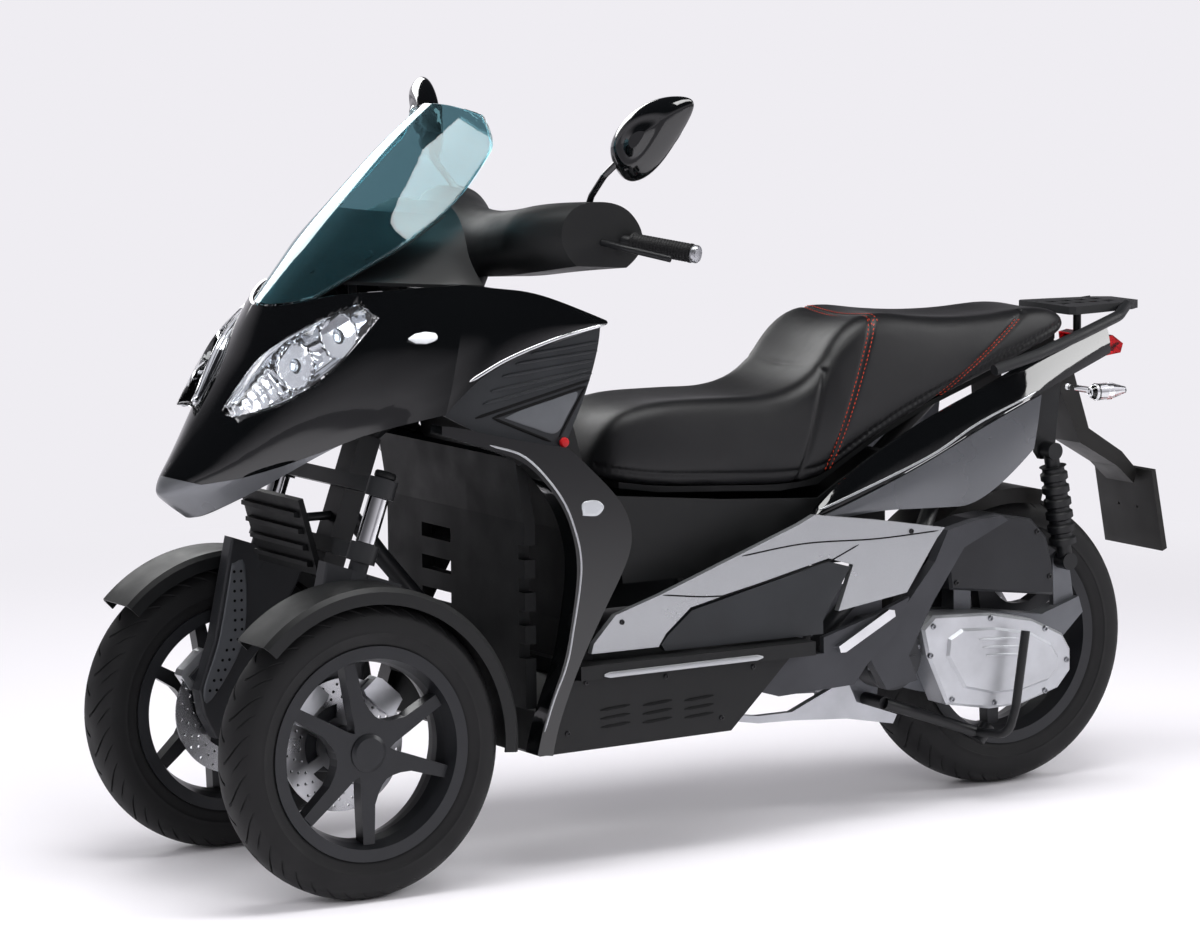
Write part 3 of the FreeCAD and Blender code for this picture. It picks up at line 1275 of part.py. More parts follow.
# Tail lamp and indicators
TAIL_LAMP_SHARES = [(1782, 874), (1802, 878), (1828, 860), (1822, 842), (1786, 838)]
feature("tail_lamp", prism(TAIL_LAMP_SHARES, -side(76).value, side(76).value))
REAR_STALK_SHARES = (1716, 778)
REAR_LENS_SHARES = [(1690, 0.5), (1705, 1), (1740, 1), (1776, 0.4)]
REAR_LENS_SIDE_SHARE = 150
REAR_LENS_RADIUS_SHARE = 17
FRONT_LENS_SHARES = [(124, 0.15), (138, 0.8), (158, 1), (176, 0.75), (186, 0.2)]
FRONT_LENS_PLACE_SHARES = (252, 985, 11)


def lens(shares, side_value, rise, radius):
    rings = []
    for setback, swell in shares:
        centre = Vector(back(setback).value, side_value, rise)
        rings.append(Part.Wire([Part.makeCircle(radius * swell, centre, Vector(1, 0, 0))]))
    return Part.makeLoft(rings, True, True)


stalk_x = back(REAR_STALK_SHARES[0]).value
stalk_z = up(REAR_STALK_SHARES[1]).value
stalk = rod(Vector(stalk_x, side(45).value + size("seat_gap"), stalk_z),
            Vector(stalk_x, side(REAR_LENS_SIDE_SHARE).value, stalk_z), size("stay_radius") * 0.8)
rear_lens = fused([stalk, lens(REAR_LENS_SHARES, side(REAR_LENS_SIDE_SHARE).value, stalk_z,
                               up(REAR_LENS_RADIUS_SHARE).value)])
feature("rear_indicators", Part.makeCompound([rear_lens, mirror(rear_lens)]))
lens_side, lens_rise, lens_radius = FRONT_LENS_PLACE_SHARES
front_lens = lens(FRONT_LENS_SHARES, side(lens_side).value, up(lens_rise).value, up(lens_radius).value)
front_lens = front_lens.cut(front_cover)
front_lens = max(front_lens.Solids, key=lambda solid: solid.BoundBox.YMax)
feature("front_indicators", Part.makeCompound([front_lens, mirror(front_lens)]))

# Rack: a slotted plate behind the seat with a grab bar down each side
RACK_SHARES = [(1690, 84), (1700, 92), (1760, 84), (1860, 64), (1888, 44)]
RACK_HEIGHT_SHARE = 925
RACK_SLOT_SHARES = [(1712, 1734), (1748, 1770), (1784, 1806), (1820, 1842)]
RACK_SLOT_SIDE_SHARES = (12, 32)
BAR_SHARES = [(1450, 168, 838), (1560, 161, 862), (1680, 141, 893), (1790, 112, 920), (1848, 58, 933)]
rack_low = up(RACK_HEIGHT_SHARE).value
rack_high = rack_low + size("rack_plate_thickness")
rim = [Vector(back(b).value, side(y).value, rack_low) for b, y in RACK_SHARES]
rim += [Vector(point.x, -point.y, point.z) for point in reversed(rim)]
rack_plate = Part.Face(Part.makePolygon(rim + rim[:1])).extrude(Vector(0, 0, rack_high - rack_low))
slots = []
for front, rear in RACK_SLOT_SHARES:
    low = Vector(back(rear).value, side(RACK_SLOT_SIDE_SHARES[0]).value, rack_low - size("overrun"))
    high = Vector(back(front).value, side(RACK_SLOT_SIDE_SHARES[1]).value, rack_high + size("overrun"))
    slots += [box_between(low, high), mirror(box_between(low, high))]
rack_centre = at(1760, 0, RACK_HEIGHT_SHARE)
for along in (-0.5, 0.5):
    for across in (-0.5, 0.5):
        spot = rack_centre + Vector(along * size("rack_bolt_along"), across * size("rack_bolt_across"), 0)
        slots.append(rod(spot - Vector(0, 0, size("overrun")), spot + Vector(0, 0, size("overrun")),
                         size("rack_bolt_radius")))
rack_plate = rack_plate.cut(Part.makeCompound(slots))
grab_bar = tube(points(BAR_SHARES), size("bar_radius"), size("bar_radius") * 5)
feature("rack", fused([rack_plate, grab_bar, mirror(grab_bar)]))

# Steering: column, handlebar with levers, cover, grips and mirrors turn about the raked column
BAR_CENTRE_SHARES = (430, 0, 1100)
COLUMN_REACH_SHARE = 286
COLUMN_TUBE_SHARES = (152, 258)
HANDLEBAR_SHARES = [(430, 0, 1106), (440, 110, 1120), (500, 215, 1140), (552, 262, 1140), (630, 388, 1120)]
MASTER_SHARES = [(548, 252, 1141), (498, 250, 1146)]
LEVER_SHARES = [(504, 256, 1140), (528, 320, 1130), (584, 388, 1112)]
bar_centre = at(*BAR_CENTRE_SHARES)
column_angle = math.radians(size("column_angle"))
column_down = Vector(math.sin(column_angle), 0, -math.cos(column_angle))
bar_points = points(HANDLEBAR_SHARES)
bar_half = tube(bar_points, size("bar_radius"), size("bar_radius") * 5)
column = rod(bar_centre, bar_centre + column_down * up(COLUMN_REACH_SHARE).value, size("column_radius"))
column_head = Part.makeSphere(size("column_radius") * 1.3, bar_points[0])
master = rod(*points(MASTER_SHARES), size("column_radius"))
lever = tube(points(LEVER_SHARES), size("mirror_stem_radius"), size("mirror_stem_radius") * 6)
bar_heading = (bar_points[-1] - bar_points[-2]).normalize()
bar_tip = bar_points[-1]
bar_end = rod(bar_tip - bar_heading * size("seat_gap"), bar_tip + bar_heading * size("bar_radius"),
              size("bar_radius") * 1.4)
left_bar = [bar_half, master, lever, bar_end]
handlebar = fused([column, column_head] + left_bar + [mirror(shape) for shape in left_bar])
feature("handlebar", handlebar)

grip_start = bar_points[-1] - bar_heading * (size("grip_length") + size("seat_gap") * 2)
grip_end = bar_points[-1] - bar_heading * (size("seat_gap") * 2)
grip = rod(grip_start, grip_end, size("grip_radius")).cut(
    rod(grip_start - bar_heading * size("overrun"), grip_end + bar_heading * size("overrun"),
        size("bar_radius") + size("seat_gap")))
feature("grips", Part.makeCompound([grip, mirror(grip)]))

# Mirrors: a boss on each side of the bar, a curved stem and a teardrop head
MIRROR_FOOT_SHARES = (506, 226, 1153)
STEM_SHARES = [(506, 226, 1190), (496, 262, 1222), (490, 318, 1262), (506, 356, 1296), (520, 372, 1310)]
HEAD_CENTRE_SHARES = (540, 398, 1330)
# The head's outline: along its length and across it, then each ring's depth and swell
HEAD_SHARES = [(-96, -6), (-90, 34), (-44, 56), (14, 60), (70, 44), (112, 18), (128, -2), (104, -18), (52, -36),
               (-4, -52), (-52, -54), (-88, -40)]
HEAD_DEPTH_SHARES = [(0, 0.93), (6, 1), (22, 0.9), (36, 0.62), (44, 0.2)]
HEAD_TURN = 18
HEAD_RISE = 34


def closed_curve(corners):
    curve = Part.BSplineCurve()
    curve.buildFromPoles(corners, True, 3)
    return Part.Wire([curve.toShape()])


def make_mirror():
    foot = at(*MIRROR_FOOT_SHARES)
    stem_points = points(STEM_SHARES)
    boss = rod(foot, stem_points[0], size("mirror_stem_radius") * 1.9)
    stem = tube(stem_points, size("mirror_stem_radius"), size("mirror_stem_radius") * 6)
    rings = []
    for depth, swell in HEAD_DEPTH_SHARES:
        rings.append(closed_curve([Vector(up(depth).value, side(along).value * swell, up(across).value * swell)
                                   for along, across in HEAD_SHARES]))
    head = Part.makeLoft(rings, True)
    leaned = Rotation(Vector(0, 0, 1), HEAD_TURN).multiply(Rotation(Vector(1, 0, 0), HEAD_RISE))
    head.Placement = Placement(at(*HEAD_CENTRE_SHARES), leaned)
    return fused([boss, stem, head])


left_mirror = make_mirror()
feature("mirrors", Part.makeCompound([left_mirror, mirror(left_mirror)]))

# Bar cover: a swept shell over the middle of the handlebar
COVER_SIDE_SHARES = (0, 100, 200, 275)
COVER_SHARES = [
    [(474, 1060), (506, 1082), (506, 1142), (470, 1180), (404, 1182), (368, 1140), (372, 1084), (400, 1062)],
    [(476, 1066), (510, 1090), (512, 1148), (476, 1188), (406, 1190), (366, 1148), (370, 1094), (400, 1070)],
    [(516, 1082), (556, 1104), (558, 1160), (512, 1206), (420, 1212), (372, 1170), (376, 1110), (412, 1084)],
    [(560, 1090), (594, 1112), (596, 1160), (552, 1208), (466, 1214), (424, 1180), (426, 1124), (456, 1098)],
]
cover_rows = []
for side_share, shares in zip(COVER_SIDE_SHARES, COVER_SHARES):
    cover_rows.append([at(b, side_share, u) for b, u in shares])
right_rows = [[Vector(point.x, -point.y, point.z) for point in row] for row in reversed(cover_rows[1:])]
bar_cover = closed_by(right_rows + cover_rows)
gap = size("seat_gap")
stem_radius = size("mirror_stem_radius")
bar_space = [tube(bar_points, size("bar_radius") + gap, size("bar_radius") * 5),
             rod(*points(MASTER_SHARES), size("column_radius") + gap),
             tube(points(LEVER_SHARES), stem_radius + gap, stem_radius * 6),
             rod(at(*MIRROR_FOOT_SHARES) - Vector(0, 0, gap), points(STEM_SHARES)[0] + Vector(0, 0, stem_radius),
                 stem_radius * 1.9 + gap),
             rod(*points(STEM_SHARES)[:2], stem_radius * 1.4)]
cuts = bar_space + [mirror(shape) for shape in bar_space]
cuts.append(rod(bar_centre - column_down * gap, bar_centre + column_down * (size("overrun") * 3),
                size("column_radius") + gap))
cuts.append(Part.makeSphere(size("column_radius") * 1.3 + gap, bar_points[0]))
for shape in cuts:
    bar_cover = max(bar_cover.cut(shape).Solids, key=lambda solid: solid.Volume)
feature("bar_cover", bar_cover)

# Centre stand, folded back under the engine, with the tang for the rider's foot on the left
STAND_SHARES = [(1217, 136, 207), (1330, 138, 167), (1440, 140, 127)]
STAND_TANG_SHARES = [(1428, 140, 131), (1446, 222, 136), (1462, 225, 190), (1484, 226, 336)]
STAND_FOOT_SHARES = [(1432, 140, 112), (1456, 140, 142)]
pivot = Vector(pivot_x.value, 0, pivot_z.value)
stand_leg = tube(points(STAND_SHARES), size("stand_tube_radius"), size("stand_tube_radius") * 4)
stand_foot = rod(*points(STAND_FOOT_SHARES), size("stand_tube_radius") * 1.3)
tang = tube(points(STAND_TANG_SHARES), size("stand_tube_radius") * 0.8, size("stand_tube_radius") * 2.5)
leg_side = side(STAND_SHARES[0][1]).value
pivot_tube = rod(pivot - Vector(0, leg_side, 0), pivot + Vector(0, leg_side, 0), size("stand_pivot_radius"))
feature("centre_stand", fused([pivot_tube, stand_leg, mirror(stand_leg), stand_foot, mirror(stand_foot), tang]))

# The inner shield opens for the column and its tube, and the arch liner for the backbone
BACKBONE_SHARES = [(200, 0, 560), (440, 0, 285)]
BACKBONE_RISE_SHARE = 0.85
tube_radius = size("frame_tube_radius")
head_half = side(28).value
head_back = size("arm_depth") * 1.8


def in_head(level):
    return raked.multVec(Vector(-size("arm_depth") * 1.15, 0, level))


backbone_top = size("lower_arm_height") + size("head_rise") * BACKBONE_RISE_SHARE
backbone_points = [in_head(backbone_top)] + points(BACKBONE_SHARES)
shield_cut = doc.addObject("Part::Cut", "InnerShieldOpen")
column_hole = doc.addObject("Part::Feature", "ColumnHole")
column_hole.Shape = rod(bar_centre, bar_centre + column_down * up(COLUMN_REACH_SHARE).value,
                        size("column_radius") + size("column_tube_wall") + size("moving_gap"))
inner_shield.Label = "inner_shield_body"
shield_cut.Base = inner_shield
shield_cut.Tool = column_hole
keep("inner_shield", shield_cut)
liner_cut = doc.addObject("Part::Cut", "ArchLinerOpen")
backbone_hole = doc.addObject("Part::Feature", "BackboneHole")
backbone_hole.Shape = tube(backbone_points, tube_radius + size("moving_gap"), tube_radius * 3)
arch_liner.Label = "arch_liner_body"
liner_cut.Base = arch_liner
liner_cut.Tool = backbone_hole
keep("arch_liner", liner_cut)

# Frame: steel rails, backbone and steering head, with a stay to each panel that it carries
RAIL_SHARES = [(430, 118, 285), (1000, 150, 285), (1075, 211, 420), (1190, 211, 503), (1246, 204, 520),
               (1330, 140, 602), (1520, 112, 778), (1745, 72, 850)]
CROSS_SHARES = [(442, 119, 285), (820, 140, 285), (1345, 137, 616), (1738, 73, 848)]
TOP_TUBE_END_SHARES = (345, 0, 905)
LINK_BOSS_SHARES = (885, 142, 285)
SHOCK_PLATE_SHARES = [(1588, 796), (1656, 816), (1640, 662), (1628, 648), (1608, 648), (1598, 662)]
STAY_SHARES = [
    ((352, 0, 386), (352, 60, 386), "arch_liner"),
    ((520, 124, 285), (520, 124, 360), "floor"),
    ((880, 143, 285), (880, 143, 360), "floor"),
    ((600, 130, 285), (600, 130, 218), "belly_pan"),
    ((1100, 211, 457), (1100, 245, 457), "side_panels"),
    ((1005, 153, 290), (985, 245, 430), "side_inserts"),
    ((1030, 175, 340), (1040, 245, 330), "lower_covers"),
    ((1180, 209, 498), (1150, 150, 585), "storage_box"),
    ((1560, 105, 790), (1560, 180, 812), "tail_strips"),
    ((1350, 137, 616), (1350, 215, 636), "tail_panels"),
    ((1738, 45, 848), (1738, 45, 935), "rack"),
    ((1738, 40, 848), (1795, 40, 858), "tail_lamp"),
    ((1738, 0, 848), (1712, 0, 795), "plate_holder"),
]
# Stays that start on the top tube, at a share of its length
TOP_STAY_SHARES = [
    (0.16, (140, 300, 905), "front_cover"),
    (0.76, (330, 300, 1000), "side_fairings"),
    (0.24, (262, 0, 1115), "instruments"),
    (0, (140, 0, 1200), "instrument_hood"),
    (0, (-6, 0, 1075), "screen_garnish"),
]
doc.recompute()
rail = tube(points(RAIL_SHARES), tube_radius, tube_radius * 3)
frame_parts = [rail, mirror(rail)]
for spot in CROSS_SHARES:
    right_end = at(spot[0], -spot[1], spot[2])
    frame_parts.append(rod(right_end, at(*spot), tube_radius * 0.9))
frame_parts.append(tube(backbone_points, tube_radius, tube_radius * 3))
head_top = size("upper_arm_height") + size("head_rise")
top_tube_start = in_head(head_top - tube_radius)
top_tube_end = at(*TOP_TUBE_END_SHARES)
frame_parts.append(rod(top_tube_start, top_tube_end, tube_radius))
head = box_between(Vector(-head_back, -head_half, size("lower_arm_height") - size("ring_height")),
                   Vector(-size("arm_depth") * 0.5 - gap, head_half, head_top))
head.Placement = raked
frame_parts.append(head)
linkage_start = in_head((size("lower_arm_height") + size("upper_arm_height")) * 0.5)
linkage_end = linkage_start + Vector(size("overrun") * 5, 0, 0)
frame_parts.append(stay(linkage_start, linkage_end, nodes["linkage_cover"].Shape))
shock_plate = prism(SHOCK_PLATE_SHARES, arm_inner.value, arm_inner.value + size("plate_wall"))
frame_parts += [shock_plate, mirror(shock_plate)]
link_boss_start = at(*LINK_BOSS_SHARES)
link_boss_end = Vector(link_boss_start.x, link_outer + gap, link_boss_start.z)
link_boss = rod(link_boss_start, link_boss_end, size("stay_radius") * 1.4)
frame_parts += [link_boss, mirror(link_boss)]
tube_low, tube_high = (up(share).value for share in COLUMN_TUBE_SHARES)
column_tube = rod(bar_centre + column_down * tube_low, bar_centre + column_down * tube_high,
                  size("column_radius") + size("column_tube_wall"))
frame_parts.append(column_tube)
stays = [(at(*start), at(*towards), target) for start, towards, target in STAY_SHARES]
stays += [(top_tube_start * (1 - share) + top_tube_end * share, at(*towards), target)
          for share, towards, target in TOP_STAY_SHARES]
for start, towards, target in stays:
    piece = stay(start, towards, nodes[target].Shape)
    frame_parts.append(piece)
    if towards.y:
        frame_parts.append(mirror(piece))
frame = fused(frame_parts)
frame = frame.cut(rod(bar_centre + column_down * (tube_low - size("overrun")),
                      bar_centre + column_down * (tube_high + size("overrun")),
                      size("column_radius") + size("running_gap")))
feature("frame", frame)

doc.recompute()
for item in doc.Objects:
    faults = [state for state in item.State if state in ("Invalid", "Error")]
    if faults:
        raise RuntimeError(item.Name + " failed: " + ", ".join(faults))
for label, item in nodes.items():
    shape = item.Shape
    if shape.isNull() or not shape.isValid() or not shape.Solids:
        raise RuntimeError(label + " has no sound shape")

os.makedirs("parts", exist_ok=True)
for label, item in nodes.items():
    item.Shape.exportStep("parts/" + label + ".step")
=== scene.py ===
from math import copysign, cos, exp, hypot, pi, radians, sin
import bmesh
import bpy
from mathutils import Matrix, Vector
from mathutils.bvhtree import BVHTree


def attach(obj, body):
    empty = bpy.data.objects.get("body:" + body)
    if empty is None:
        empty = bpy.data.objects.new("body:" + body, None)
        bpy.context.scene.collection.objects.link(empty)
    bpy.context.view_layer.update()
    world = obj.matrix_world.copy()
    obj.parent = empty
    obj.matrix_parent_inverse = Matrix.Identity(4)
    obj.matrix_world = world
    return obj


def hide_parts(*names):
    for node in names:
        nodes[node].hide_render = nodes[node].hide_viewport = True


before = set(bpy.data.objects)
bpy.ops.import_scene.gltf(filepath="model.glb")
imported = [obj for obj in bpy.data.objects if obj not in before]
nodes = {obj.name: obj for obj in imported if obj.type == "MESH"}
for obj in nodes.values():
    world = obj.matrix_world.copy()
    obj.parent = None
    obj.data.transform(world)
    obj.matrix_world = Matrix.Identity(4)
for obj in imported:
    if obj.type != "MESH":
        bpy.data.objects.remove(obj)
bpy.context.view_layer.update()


def placed(name, data):
    """An object made of the data, linked into the scene."""
    made = bpy.data.objects.new(name, data)
    bpy.context.scene.collection.objects.link(made)
    return made


# Camera: a long lens at hip height, a little ahead of the machine's left side.
# It stands where the photograph was taken from, with the horizon turned by half a degree.
camera_data = bpy.data.cameras.new("camera")
camera_data.lens = 144.2
camera_data.sensor_width = 36
camera = placed("camera", camera_data)
camera_back = Vector((0.5093, 0.8509, 0.1290)).normalized()
level_right = Vector((0, 0, 1)).cross(camera_back).normalized()
level_up = camera_back.cross(level_right)
roll = radians(-0.473)
camera_right = level_right * cos(roll) + level_up * sin(roll)
camera_up = camera_back.cross(camera_right)
camera_turn = Matrix((camera_right, camera_up, camera_back)).transposed().to_4x4()
camera.matrix_world = Matrix.Translation((4.748, 7.658, 1.848)) @ camera_turn
bpy.context.scene.camera = camera


def linear(text):
    """sRGB hex to linear colour."""
    parts = [int(text[place:place + 2], 16) / 255 for place in (0, 2, 4)]
    return [part / 12.92 if part <= 0.04045 else ((part + 0.055) / 1.055) ** 2.4 for part in parts] + [1.0]


def add(tree, kind, inputs=None, **settings):
    """A node with its settings, and its inputs as values or (node, output) links; a shader's kind is short."""
    made = tree.nodes.new("ShaderNode" + kind if tree.type == "SHADER" else kind)
    for name, value in settings.items():
        setattr(made, name, value)
    for name, value in (inputs or {}).items():
        socket = made.inputs[name]
        if isinstance(value, tuple) and isinstance(value[0], bpy.types.Node):
            tree.links.new(value[0].outputs[value[1]], socket)
        else:
            socket.default_value = value
    return made


def fresh_material(name):
    material = bpy.data.materials.new(name)
    material.use_nodes = True
    material.node_tree.nodes.clear()
    return material, material.node_tree


def mesh_piece(name, points, faces, materials, crease=40):
    """A mesh object whose place is in its points, with normals outward and edges sharp past the crease."""
    mesh = bpy.data.meshes.new(name)
    mesh.from_pydata([tuple(point) for point in points], [], faces)
    shape = bmesh.new()
    shape.from_mesh(mesh)
    bmesh.ops.remove_doubles(shape, verts=shape.verts, dist=2e-6)
    bmesh.ops.recalc_face_normals(shape, faces=shape.faces)
    for face in shape.faces:
        face.smooth = True
    shape.to_mesh(mesh)
    shape.free()
    mesh.set_sharp_from_angle(angle=radians(crease))
    for material in materials:
        mesh.materials.append(material)
    return placed(name, mesh)


# Studio: a pale lilac-white paper floor under a white room with a darker ceiling.
# Large soft boxes stand overhead, on the left and behind, so that dark gloss shows long highlights.
# Far from the machine the paper fades into the backdrop, so that no horizon shows.
BACKDROP = "EFEDF2"
paper, tree = fresh_material("studio_paper")
place = add(tree, "TexCoord")
reach = add(tree, "VectorMath", {0: (place, "Object")}, operation="LENGTH")
far = add(tree, "MapRange", {"Value": (reach, "Value"), "From Min": 1.6, "From Max": 4.2},
    interpolation_type="SMOOTHSTEP")
ray = add(tree, "LightPath")
seen_far = add(tree, "Math", {0: (far, "Result"), 1: (ray, "Is Camera Ray")}, operation="MULTIPLY")
paper_shade = add(tree, "BsdfPrincipled", {"Base Color": linear("F3F1F5"), "Roughness": 0.8})
paper_far = add(tree, "Emission", {"Color": linear(BACKDROP), "Strength": 1.0})
paper_mix = add(tree, "MixShader", {"Fac": (seen_far, "Value"), 1: (paper_shade, "BSDF"),
    2: (paper_far, "Emission")})
add(tree, "OutputMaterial", {"Surface": (paper_mix, "Shader")})
floor_piece = mesh_piece("studio_floor", [(-60, -60, 0), (60, -60, 0), (60, 60, 0), (-60, 60, 0)], [(0, 1, 2, 3)],
    [paper])

room = bpy.data.worlds.new("studio_room")
room.use_nodes = True
tree = room.node_tree
tree.nodes.clear()
direction = add(tree, "TexCoord")
height = add(tree, "SeparateXYZ", {"Vector": (direction, "Generated")})
ceiling = add(tree, "ValToRGB", {"Fac": (height, "Z")})
for element, rise, colour in zip(ceiling.color_ramp.elements, (0.05, 0.4), ("E4E1E8", "2C2C30")):
    element.position = rise
    element.color = linear(colour)
shown = add(tree, "Background", {"Color": (ceiling, "Color"), "Strength": 0.8})
backdrop = add(tree, "Background", {"Color": linear(BACKDROP), "Strength": 1.0})
soft_fill = add(tree, "Background", {"Color": linear("F2F0F6"), "Strength": 0.42})
ray = add(tree, "LightPath")
glossy_mix = add(tree, "MixShader", {"Fac": (ray, "Is Glossy Ray"), 1: (soft_fill, "Background"),
    2: (shown, "Background")})
camera_or_through = add(tree, "Math", {0: (ray, "Is Camera Ray"), 1: (ray, "Is Transmission Ray")},
    operation="MAXIMUM")
world_mix = add(tree, "MixShader", {"Fac": (camera_or_through, "Value"), 1: (glossy_mix, "Shader"),
    2: (backdrop, "Background")})
add(tree, "OutputWorld", {"Surface": (world_mix, "Shader")})
bpy.context.scene.world = room

# Name, place, aim, size in metres, power in watts, and whether gloss mirrors the box
SOFT_BOXES = [
    ("soft_box_overhead", (0.3, 0.6, 3.4), (0.0, 0.1, 0.4), (3.2, 1.2), 95, True),
    ("soft_box_left", (1.2, 4.4, 2.2), (0.1, 0.0, 0.6), (2.6, 1.6), 75, False),
    ("soft_box_front", (4.4, 0.6, 2.0), (0.6, 0.0, 0.7), (1.2, 2.2), 55, False),
    ("soft_box_rear", (-3.6, 1.8, 2.4), (-0.6, 0.0, 0.6), (1.4, 2.0), 60, True),
    ("soft_box_right", (0.0, -4.2, 2.6), (0.0, 0.0, 0.7), (2.6, 1.4), 55, True),
]
for name, spot, aim, (wide, tall), power, mirrored in SOFT_BOXES:
    lamp_data = bpy.data.lights.new(name, "AREA")
    lamp_data.shape = "RECTANGLE"
    lamp_data.size = wide
    lamp_data.size_y = tall
    lamp_data.energy = power
    lamp = placed(name, lamp_data)
    lamp.location = spot
    lamp.visible_glossy = mirrored
    lamp.rotation_euler = (Vector(aim) - Vector(spot)).to_track_quat("-Z", "Y").to_euler()
bpy.context.scene.view_settings.view_transform = "Standard"


def dress(material, *names):
    """CAD nodes take their finish on every slot."""
    for name in names:
        for holder in nodes[name].material_slots:
            holder.material = material


def textured(name, colour, roughness, cloud, dulling, reliefs, depth, distance, shading, far=0.7, tones=None,
        tone_far=0.7):
    """A material with a relief, and a cloud that shifts its dullness and, where tones are given, its tone.

    cloud is (scale, detail). dulling and tones are factors at the cloud's thin and thick ends.
    Each relief is (kind of node, its inputs, its output, its settings), and a second one is added to the first.
    """
    material, tree = fresh_material(name)
    place = add(tree, "TexCoord")
    here = {"Vector": (place, "Object")}
    marks = add(tree, "TexNoise", {**here, "Scale": cloud[0], "Detail": cloud[1]})
    dull = add(tree, "MapRange", {"Value": (marks, "Fac"), "From Min": 0.3, "From Max": far,
        "To Min": roughness * dulling[0], "To Max": roughness * dulling[1]})
    base = linear(colour)
    if tones:
        tone = add(tree, "ValToRGB", {"Fac": (marks, "Fac")})
        for element, share, spot in zip(tone.color_ramp.elements, tones, (0.3, tone_far)):
            element.position = spot
            element.color = [min(1, part * share) for part in base[:3]] + [1]
        base = (tone, "Color")
    height, *others = [(add(tree, kind, {**here, **inputs}, **settings), output)
        for kind, inputs, output, settings in reliefs]
    for other in others:
        height = (add(tree, "Math", {0: height, 1: other}, operation="ADD"), "Value")
    bump = add(tree, "Bump", {"Height": height, "Strength": depth, "Distance": distance})
    shade = add(tree, "BsdfPrincipled", {"Base Color": base, "Roughness": (dull, "Result"),
        "Normal": (bump, "Normal"), **shading})
    add(tree, "OutputMaterial", {"Surface": (shade, "BSDF")})
    return material


# Frame, shocks and front linkage: welded steel tube, springs and box arms under a satin powder coat.
# The coat is a little uneven, like fine orange skin, and shows soft broad highlights.
def powder_coat(name, colour, roughness, grain_mm):
    skin = ("TexNoise", {"Scale": 1000 / grain_mm, "Detail": 3.0}, "Fac", {})
    return textured(name, colour, roughness, (9.0, 4.0), (0.85, 1.2), [skin], 0.12, 0.0004,
        {"Specular IOR Level": 0.4})


chassis_coat = powder_coat("powder_coated_steel_black", "101113", 0.42, 2.5)
dress(chassis_coat, "frame", "centre_stand", "handlebar", "shocks")
dress(powder_coat("powder_coated_steel_grey", "1E1F21", 0.45, 2.5), "front_arms")


# Moulded black plastic: liners, mudguards, floor, pans and the parts round the bars.
# ABS and polypropylene with a spark-eroded grain, drawn at 1.6 mm so that it shows.
def plastic(name, colour, roughness, grain_mm, depth=0.25, shine=0.35):
    grain = ("TexVoronoi", {"Scale": 1000 / grain_mm}, "Distance", {"feature": "SMOOTH_F1"})
    return textured(name, colour, roughness, (14.0, 5.0), (0.86, 1.16), [grain], depth, 0.0003,
        {"Specular IOR Level": shine}, tones=(0.85, 1.2), tone_far=0.75)


black_plastic = plastic("grained_black_polypropylene", "0D0E0F", 0.5, 1.6)
dark_grey_plastic = plastic("satin_dark_grey_abs", "232528", 0.4, 1.4, 0.15)
dress(black_plastic, "floor", "belly_pan", "inner_shield", "instrument_hood", "bar_cover", "screen_garnish",
    "storage_box", "seat_pan", "front_fender_left", "front_fender_right")
# The arch liner and louvred linkage cover are black plastic made darker and less shiny than the rest: painted shade
# for the arch's shadowed inside.
dress(plastic("shade_darkened_black_liner", "090A0B", 0.55, 1.6, 0.25, 0.25), "arch_liner", "linkage_cover")
dress(plastic("grained_brown_black_plastic", "131211", 0.48, 1.6), "rear_hugger", "plate_holder")
dress(dark_grey_plastic, "fairing_inserts", "side_inserts")
dress(plastic("graphite_abs", "1E1F22", 0.36, 1.4, 0.12), "airbox")


# Painted bodywork: injection-moulded ABS with two coats of gloss and a clear lacquer.
# Black panels are deep and mirror-like with a very slight orange skin, the sills are satin silver.
def body_paint(name, colour, roughness=0.06, metallic=0.0, flake=0.0):
    skin = ("TexNoise", {"Scale": 260.0, "Detail": 2.0}, "Fac", {})
    material = textured(name, colour, roughness, (7.0, 6.0), (0.8, 1.4), [skin], 0.03, 0.0003,
        {"Metallic": metallic, "Coat Weight": 0.6, "Coat Roughness": 0.04}, far=0.75)
    if flake:
        tree = material.node_tree
        place, shade = tree.nodes["Texture Coordinate"], tree.nodes["Principled BSDF"]
        speck = add(tree, "TexVoronoi", {"Vector": (place, "Object"), "Scale": 2500.0})
        ramp = add(tree, "ValToRGB", {"Fac": (speck, "Color")})
        for element, share in zip(ramp.color_ramp.elements, (1 - flake, 1 + flake)):
            element.color = [min(1, part * share) for part in linear(colour)[:3]] + [1]
        tree.links.new(ramp.outputs["Color"], shade.inputs["Base Color"])
    return material


gloss_black = body_paint("lacquered_black_abs", "060708")
silver_paint = body_paint("satin_silver_lacquer", "A9ABAE", 0.3, 0.75, 0.12)
dress(gloss_black, "front_cover", "side_fairings", "leg_shields", "tail_strips", "mirrors", "instruments")
dress(silver_paint, "side_panels")
dress(body_paint("metallic_grey_lacquer", "5D5F63", 0.26, 0.7, 0.15), "tail_panels")
# The front lip's grey tone is painted reflection: it stands in for the studio light that the lip mirrors.
dress(body_paint("satin_grey_painted_reflection", "6E7074", 0.34, 0.55, 0.1), "front_lip")


# Castings: sand-cast and die-cast aluminium, bare or painted, with a fine pebbled skin.
# Bare ones are light and satin, painted ones dark with the same skin under the paint.
def casting(name, colour, metallic, roughness, pebble_mm, pebble_depth=0.25):
    pebble = ("TexNoise", {"Scale": 1000 / pebble_mm, "Detail": 4.0, "Roughness": 0.6}, "Fac", {})
    return textured(name, colour, roughness, (11.0, 5.0), (0.85, 1.15), [pebble], pebble_depth, 0.0005,
        {"Metallic": metallic}, tones=(0.82, 1.1))


